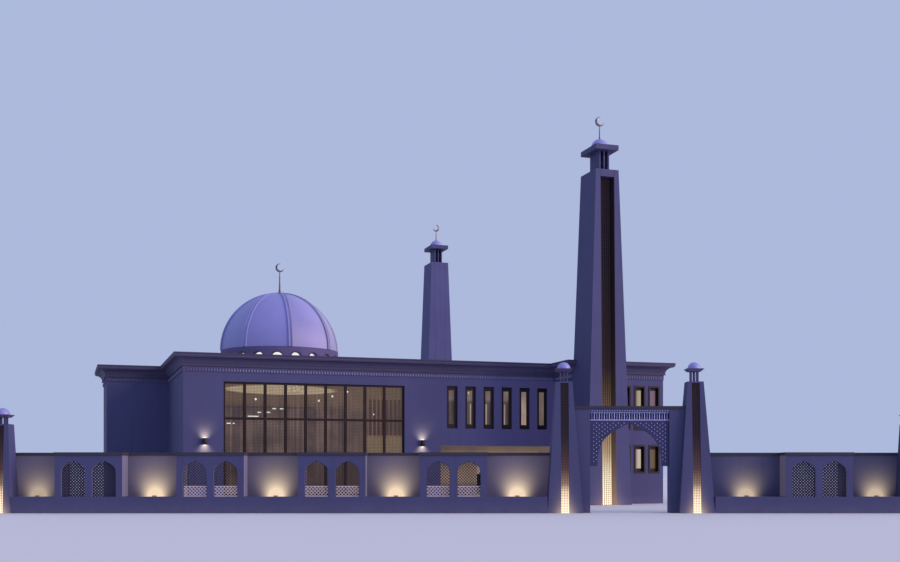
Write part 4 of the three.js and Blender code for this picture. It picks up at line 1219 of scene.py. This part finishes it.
class Drum(bpy.types.Operator):
    """Round drum with twenty round-headed lights"""

    bl_idname = "mosque.drum"
    bl_label = "Drum"

    def execute(self, context):
        lights, swing = 20, 3.6
        sill, head, half = 9.35, 10.36, 0.37
        centre = BUILDING @ shifted(DOME_AT.x, DOME_AT.y, 0.0)
        angles = [360 / lights * (i + 0.5) - swing for i in range(lights)]
        turns = [Matrix.Rotation(math.radians(angle), 4, "Z") for angle in angles]

        def round_head(radius):
            steps = (math.pi * i / 12 for i in range(13))
            return [(radius * math.cos(a), head - half + radius * math.sin(a)) for a in steps]

        body = added(bpy.ops.mesh.primitive_circle_add, vertices=120, radius=DOME_RADIUS,
                     location=(0, 0, ROOF_TOP))
        edit(body)
        bpy.ops.mesh.extrude_region_move(TRANSFORM_OT_translate={"value": (0, 0, SPRING - ROOF_TOP)})
        bpy.ops.mesh.select_all(action="SELECT")
        bpy.ops.mesh.normals_make_consistent(inside=False)
        done()
        modified(body, "SOLIDIFY", thickness=DRUM_THICKNESS, offset=-1.0)
        crown = round_head(half)
        cutter = plate([(-half, sill), (half, sill), *crown], -DOME_RADIUS - 0.3, 0.5 - DOME_RADIUS)
        cut(body, copied(cutter, turns))
        hand_in(smoothed(body), "drum_ring", centre, "drum_render", "wall_render", "drum")
        panes = solid_copy("drum_glass")
        hand_in(panes, "drum_panes", Matrix(), "drum_glass", "window_glass", "drum_glass")
        trim = plate(round_head(half * 1.16) + crown[::-1], -DOME_RADIUS - 0.02, -DOME_RADIUS + 0.06)
        hand_in(smoothed(copied(trim, turns)), "drum_trims", centre, "cornice_render", "wall_render")
        return {"FINISHED"}


def crescent(radius, depth, lean, seat):
    """A moon that opens to the upper right, cut from a round plate."""
    away = radius * 0.28
    moon, bite = (
        added(bpy.ops.mesh.primitive_cylinder_add, vertices=64, radius=wide, depth=deep,
              rotation=FACING_FRONT, location=(off * math.cos(lean), 0, off * math.sin(lean)))
        for wide, deep, off in ((radius, depth, 0.0), (radius * 0.81, depth * 3, away)))
    cut(moon, bite)
    bevelled(moon, depth * 0.18, 2)
    return placed(moon, shifted(0, 0, seat))


def finial(foot, neck, tip, height, moon):
    """Tapered rod with a small foot and a crescent, standing on the origin."""
    rod = turned([(0.0, -0.05), (foot, -0.05), (foot, 0.0), (foot * 0.8, foot * 0.35), (neck, foot),
                  (neck * 0.8, foot * 2.2), (tip, height), (0.0, height)], 24)
    knob = added(bpy.ops.mesh.primitive_uv_sphere_add, segments=20, ring_count=12, radius=tip * 1.7,
                 location=(0, 0, height + 0.01))
    disc = crescent(moon, 0.065, math.radians(36), height + moon * 0.85)
    return smoothed(joined([rod, knob, disc]), 35.0)


class Finials(bpy.types.Operator):
    """Crescent finials of the dome and the minarets, and the minarets' small domes"""

    bl_idname = "mosque.finials"
    bl_label = "Finials"

    def execute(self, context):
        place = BUILDING @ shifted(DOME_AT.x, DOME_AT.y, CROWN)
        top = finial(foot=0.13, neck=0.085, tip=0.03, height=1.56, moon=0.31)
        hand_in(top, "dome_crescent", place, "finial_metal", "bronze", "dome_finial")

        lantern, radius, rise = 1.56, 0.56, 0.6
        for side, at in MINARETS.items():
            seat = at @ shifted(0, 0, MINARET_TOP + lantern)
            cap = added(bpy.ops.mesh.primitive_uv_sphere_add, (1.0, 1.0, rise / radius), segments=48,
                        ring_count=24, radius=radius)
            edit(cap)
            bpy.ops.mesh.bisect(plane_co=(0, 0, 0.0), plane_no=(0, 0, 1), clear_inner=True, use_fill=True)
            done()
            neck = turned([(0.0, 0.0), (radius + 0.04, 0.0), (radius + 0.04, 0.04), (radius - 0.02, 0.06),
                           (0.0, 0.06)])
            dome = smoothed(joined([cap, neck]), 40.0)
            hand_in(dome, f"minaret_{side}_dome", seat, "dome_plaster", "dome_plaster")
            rod = finial(foot=0.08, neck=0.05, tip=0.028, height=0.9, moon=0.3)
            hand_in(rod, f"minaret_{side}_crescent", seat @ shifted(0, 0, rise - 0.04), "finial_metal",
                    "bronze", f"minaret_{side}_finial")
        return {"FINISHED"}


class MinaretStrips(bpy.types.Operator):
    """Bronze lattices in front of the lit strips of the minarets"""

    bl_idname = "mosque.minaret_strips"
    bl_label = "Minaret lattices"

    def execute(self, context):
        s = sizes()
        wide, high, setback, stud = 0.92, 20.48, 0.6, 0.02
        columns, rows = round(wide / s.strip_mesh), round(high / s.strip_mesh)
        across, up = wide / columns, high / rows
        net = lattice(wide, high, columns, rows, s.strip_bar, -0.02, 0.02)
        left, foot = -wide / 2 + across, -high / 2 + up
        studs = bar((left - stud, left + stud), (-0.03, -0.018), (foot - stud, foot + stud), 0.006)
        repeated(studs, columns - 1, (across, 0, 0))
        repeated(studs, rows - 1, (0, 0, up))
        lean = Matrix.Rotation(-math.atan2((MINARET_FOOT_WIDTH - MINARET_TOP_WIDTH) / 2, MINARET_TOP), 4, "X")
        front = shifted(0, -MINARET_FOOT_WIDTH / 2 + setback, 0)
        strip = placed(joined([net, studs]), front @ lean @ shifted(0, 0, high / 2))
        for side, at in MINARETS.items():
            hand_in(twin_of(strip), f"minaret_{side}_lattice", at, "minaret_lattice_metal", "bronze")
        bpy.data.objects.remove(strip)
        return {"FINISHED"}


class Pylons(bpy.types.Operator):
    """Street pylons with smooth small domes, their lit strips and lattices"""

    bl_idname = "mosque.pylons"
    bl_label = "Street pylons"

    def execute(self, context):
        for node, (*_, top, cap) in PYLONS.items():
            body = solid_copy(node)
            finished(body.data, "pylon_render", "cornice_render", "dome_plaster")
            for face in body.data.polygons:
                above = face.center.z / HALF - 0.01 - top
                face.material_index = (above > 0.0) + (above > cap)
            hand_in(body, f"{node}_body", Matrix(), None, "wall_render", node)

        wide, top_width, edge, columns, cell = 0.394, 0.8, 0.09, 5, 0.08
        bar_width = sizes().strip_bar * 0.55
        panels, lattices = [], []
        for x, foot, top, _ in PYLONS.values():
            high = top - edge
            lean = shifted(x, 0, 0) @ Matrix.Rotation(-math.atan2((foot - top_width) / 2, top), 4, "X")
            panel = bar((-wide / 2, wide / 2), (0.095, 0.118), (0.0, high), 0.004)
            panels.append(placed(panel, lean))
            net = lattice(wide, high, columns, round(high / cell), bar_width, 0.035, 0.06)
            lattices.append(placed(net, lean @ shifted(0, 0, high / 2)))
        hand_in(joined(panels), "pylon_strips", STREET, "pylon_strip_glow", "window_glass")
        hand_in(joined(lattices), "pylon_lattices", STREET, "pylon_lattice_metal", "bronze")
        return {"FINISHED"}


def half_at(outline, level):
    """Half the width of a symmetric outline at a level."""
    widths = []
    for (x0, z0), (x1, z1) in zip(outline, outline[1:] + outline[:1]):
        if min(z0, z1) <= level <= max(z0, z1) and z0 != z1:
            widths.append(abs(x0 + (x1 - x0) * (level - z0) / (z1 - z0)))
    return max(widths, default=0.0)


class GateScreen(bpy.types.Operator):
    """Arched screen of the gate, inlaid with small light diamonds"""

    bl_idname = "mosque.gate_screen"
    bl_label = "Gate screen"

    def execute(self, context):
        wide, foot, head, near, far = 1.969, 2.32, 4.599, 0.64, 0.76
        across, up, half = 0.275, 0.2, sizes().diamond / 2
        rows, columns, clear = 11, 8, half + 0.02
        arch = arch_outline(1.6, foot - 0.5, foot, 4.47, *GATE_CURVE)
        screen = bar((-wide, wide), (near, far), (foot, head))
        cut(screen, plate(arch, near - 0.5, far + 0.5))
        bevelled(screen, 0.004)
        hand_in(screen, "gate_screen_plate", STREET, "screen_render", "wall_render", "gate_screen")

        spots = []
        for row in range(-rows, rows + 1):
            level = (foot + head) / 2 + row * up / 2
            opening = max(half_at(arch, level + off) for off in (-clear, 0.0, clear))
            for column in range(-columns, columns + 1):
                x = (column + (row % 2) / 2) * across
                beside = opening + clear < abs(x) < wide - clear
                if beside and foot + clear < level < head - clear:
                    spots.append(shifted(x, near, level))
        diamond = added(bpy.ops.mesh.primitive_cylinder_add, vertices=4, radius=half, depth=0.02,
                        location=(0, -0.008, 0), rotation=FACING_FRONT)
        diamonds = copied(bevelled(diamond, 0.005), spots)
        hand_in(diamonds, "gate_screen_diamonds", STREET, "screen_inlay", "pale_fins")

        pitch = 0.125
        count = int(2 * wide / pitch)
        square = bar((-0.024, 0.024), (0.53, 0.549), (5.045, 5.115), 0.004)
        squares = copied(square, [shifted((i - (count - 1) / 2) * pitch, 0, 0) for i in range(count)])
        hand_in(squares, "gate_squares", STREET, "screen_inlay", "pale_fins")
        return {"FINISHED"}


class ArchLattices(bpy.types.Operator):
    """Lattices and balustrades in the arches of the street wall"""

    bl_idname = "mosque.arch_lattices"
    bl_label = "Arch lattices"

    def execute(self, context):
        s = sizes()
        half, spring, apex, rail_top, fit, off_middle = 0.59, 2.0, 2.59, 1.34, 0.002, 0.76
        outline = arch_outline(half - fit, STREET_PLINTH, spring, apex - fit, *ARCH_CURVE)
        middle = (STREET_PLINTH + apex) / 2

        def net(cell, bar_width, near, low, high):
            far, span = 0.15, 2.6
            count = math.ceil(span / cell)
            mesh = lattice(count * cell, count * cell, count, count, bar_width, near, far, math.pi / 4)
            placed(mesh, shifted(0, 0, middle))
            cut(mesh, plate(outline, near - 0.05, far + 0.05), "INTERSECT")
            if low > STREET_PLINTH or high < apex:
                cut(mesh, bar((-1.0, 1.0), (near - 0.1, far + 0.1), (low, high)), "INTERSECT")
            return mesh

        full = net(s.arch_mesh, s.arch_bar * 2.7, 0.12, STREET_PLINTH, apex)
        upper = net(s.arch_mesh, s.arch_bar, 0.13, rail_top, apex)
        lower = net(s.rail_mesh, s.rail_bar, 0.13, STREET_PLINTH + 0.03, rail_top - 0.03)
        rails = [bar((fit - half, half - fit), (0.10, 0.16), levels, 0.008) for levels in
                 ((rail_top - 0.04, rail_top), (STREET_PLINTH + 0.001, STREET_PLINTH + 0.035))]
        balustrade = joined([lower, *rails])
        liner = plate(outline, 0.09, 0.17)
        inner = arch_outline(0.562, STREET_PLINTH - 0.2, spring, apex - 0.03, *ARCH_CURVE)
        bevelled(cut(liner, plate(inner, -0.2, 0.4)), 0.004)

        low_panels, tall_panels = PANELS[:3], PANELS[3:]
        for piece, panels, name, finish, slot in (
                (liner, PANELS, "street_arch_frames", "street_trim", "wall_render"),
                (full, tall_panels, "street_full_lattices", "arch_screen_render", "wall_render"),
                (upper, low_panels, "street_upper_lattices", "bronze_metal", "bronze"),
                (balustrade, low_panels, "street_balustrades", "balustrade_paint", "pale_fins")):
            middles = [x + PANEL_WIDTH / 2 + side * off_middle for x in panels for side in (-1, 1)]
            places = [shifted(x, 0, 0) for x in middles]
            hand_in(copied(piece, places), name, STREET, finish, slot)
        return {"FINISHED"}


class Lamps(bpy.types.Operator):
    """Wall lamps of the hall, and the uplights of the street wall"""

    bl_idname = "mosque.lamps"
    bl_label = "Lamps"

    def execute(self, context):
        def rounded(radius, above, half, bevel):
            """An upright round bar in front of the wall, its middle above or below that of the lamp."""
            piece = added(bpy.ops.mesh.primitive_cylinder_add, vertices=28, radius=radius, depth=2 * half,
                          location=(0.0, -0.17, LAMP_LEVEL + above))
            return bevelled(piece, bevel, 2)

        def fixed(half_wide, out, half_high):
            """A flat bar from the wall to the lamp."""
            levels = (LAMP_LEVEL - half_high, LAMP_LEVEL + half_high)
            return bar((-half_wide, half_wide), (-out, -0.002), levels, 0.006)

        tube = rounded(0.11, 0.0, LAMP_HALF, 0.012)
        collars = [rounded(0.125, way * (LAMP_HALF - 0.01), 0.02, 0.006) for way in (-1, 1)]
        lamp = joined([tube, *collars, fixed(0.035, 0.08, 0.06), fixed(0.07, 0.022, 0.1)])
        lenses = joined([rounded(0.09, way * (LAMP_HALF + 0.015), 0.008, 0.003) for way in (-1, 1)])
        places = [shifted(x, 0, 0) for x in WALL_LAMPS]
        hand_in(smoothed(copied(lamp, places), 40.0), "wall_lamps", BUILDING, "bronze_metal", "bronze")
        hand_in(copied(lenses, places), "wall_lamp_lenses", BUILDING, "lamp_light", "window_glass")

        tray = joined([bar((-0.11, 0.11), across, levels, 0.004) for across, levels in (
            ((-0.04, 0.04), (0.0, 0.02)), ((-0.04, -0.028), (0.02, 0.04)), ((0.028, 0.04), (0.02, 0.04)))])
        light = bar((-0.1, 0.1), (-0.026, 0.026), (0.02, 0.03), 0.004)
        spots = [shifted(x, REVEAL - 0.16, STREET_PLINTH + 0.001) for x in BAY_LAMPS]
        hand_in(copied(tray, spots), "bay_uplights", STREET, "bronze_metal", "bronze")
        hand_in(copied(light, spots), "bay_uplight_lenses", STREET, "lamp_light", "window_glass")
        return {"FINISHED"}


class Stage(bpy.types.Operator):
    """Plain pale floor, soft studio light and the camera of the photograph"""

    bl_idname = "mosque.stage"
    bl_label = "Stage"

    def execute(self, context):
        scene = context.scene
        scene.view_settings.view_transform = "Standard"
        floor = added(bpy.ops.mesh.primitive_plane_add, size=900.0, location=(0, 0, -0.004))
        floor.name = "stage_floor"
        finished(floor.data, "stage_paper")

        world = bpy.data.worlds.new("studio")
        world.use_nodes = True
        background = world.node_tree.nodes["Background"]
        background.inputs["Color"].default_value = (0.58, 0.68, 1.0, 1.0)
        background.inputs["Strength"].default_value = 0.72
        scene.world = world

        lamp = bpy.data.lights.new("key", "SUN")
        lamp.energy = 3.0
        lamp.angle = math.radians(42)
        lamp.color = (1.0, 0.743, 0.788)
        key = bpy.data.objects.new("key", lamp)
        scene.collection.objects.link(key)
        key.rotation_euler = Vector((0.795, -0.557, 0.242)).to_track_quat("Z", "Y").to_euler()

        # The photograph's width, and how far its horizon lies below its middle, in its pixels
        photo_width, horizon_drop = 900.0, 193.0
        lens = bpy.data.cameras.new("photo_view")
        lens.sensor_width = 36.0
        lens.lens = 47.0
        lens.shift_y = horizon_drop / photo_width
        lens.clip_end = 2000.0
        camera = bpy.data.objects.new("photo_view", lens)
        scene.collection.objects.link(camera)
        camera.location = BUILDING @ Vector((-7.06, -71.83, 1.93))
        camera.rotation_euler = (math.pi / 2, 0.0, STREET_TURN)
        scene.camera = camera
        return {"FINISHED"}


class MosquePanel(bpy.types.Panel):
    """Sidebar panel that lists the parts of the building"""

    bl_idname = "MOSQUE_PT_parts"
    bl_label = "Mosque building"
    bl_space_type = "VIEW_3D"
    bl_region_type = "UI"
    bl_category = "Mosque"

    def draw(self, context):
        layout = self.layout
        for operator in PARTS:
            layout.operator(operator.bl_idname)
        for group in (context.scene.mosque_sizes, context.scene.mosque_colours):
            box = layout.box()
            for name in group.__annotations__:
                box.prop(group, name)


PARTS = (DressWalls, DressGlass, SlimFrames, HallLattice, Cornice, Dome, Drum, Finials, MinaretStrips,
         Pylons, GateScreen, ArchLattices, Lamps, Stage)
CLASSES = (MosqueSizes, MosqueColours, *PARTS, MosquePanel)


def register():
    for each in CLASSES:
        bpy.utils.register_class(each)
    bpy.types.Scene.mosque_sizes = PointerProperty(type=MosqueSizes)
    bpy.types.Scene.mosque_colours = PointerProperty(type=MosqueColours)


def unregister():
    del bpy.types.Scene.mosque_colours
    del bpy.types.Scene.mosque_sizes
    for each in reversed(CLASSES):
        bpy.utils.unregister_class(each)


def main():
    register()
    for part in PARTS:
        family, name = part.bl_idname.split(".")
        getattr(getattr(bpy.ops, family), name)()


if __name__ == "__main__":
    main()
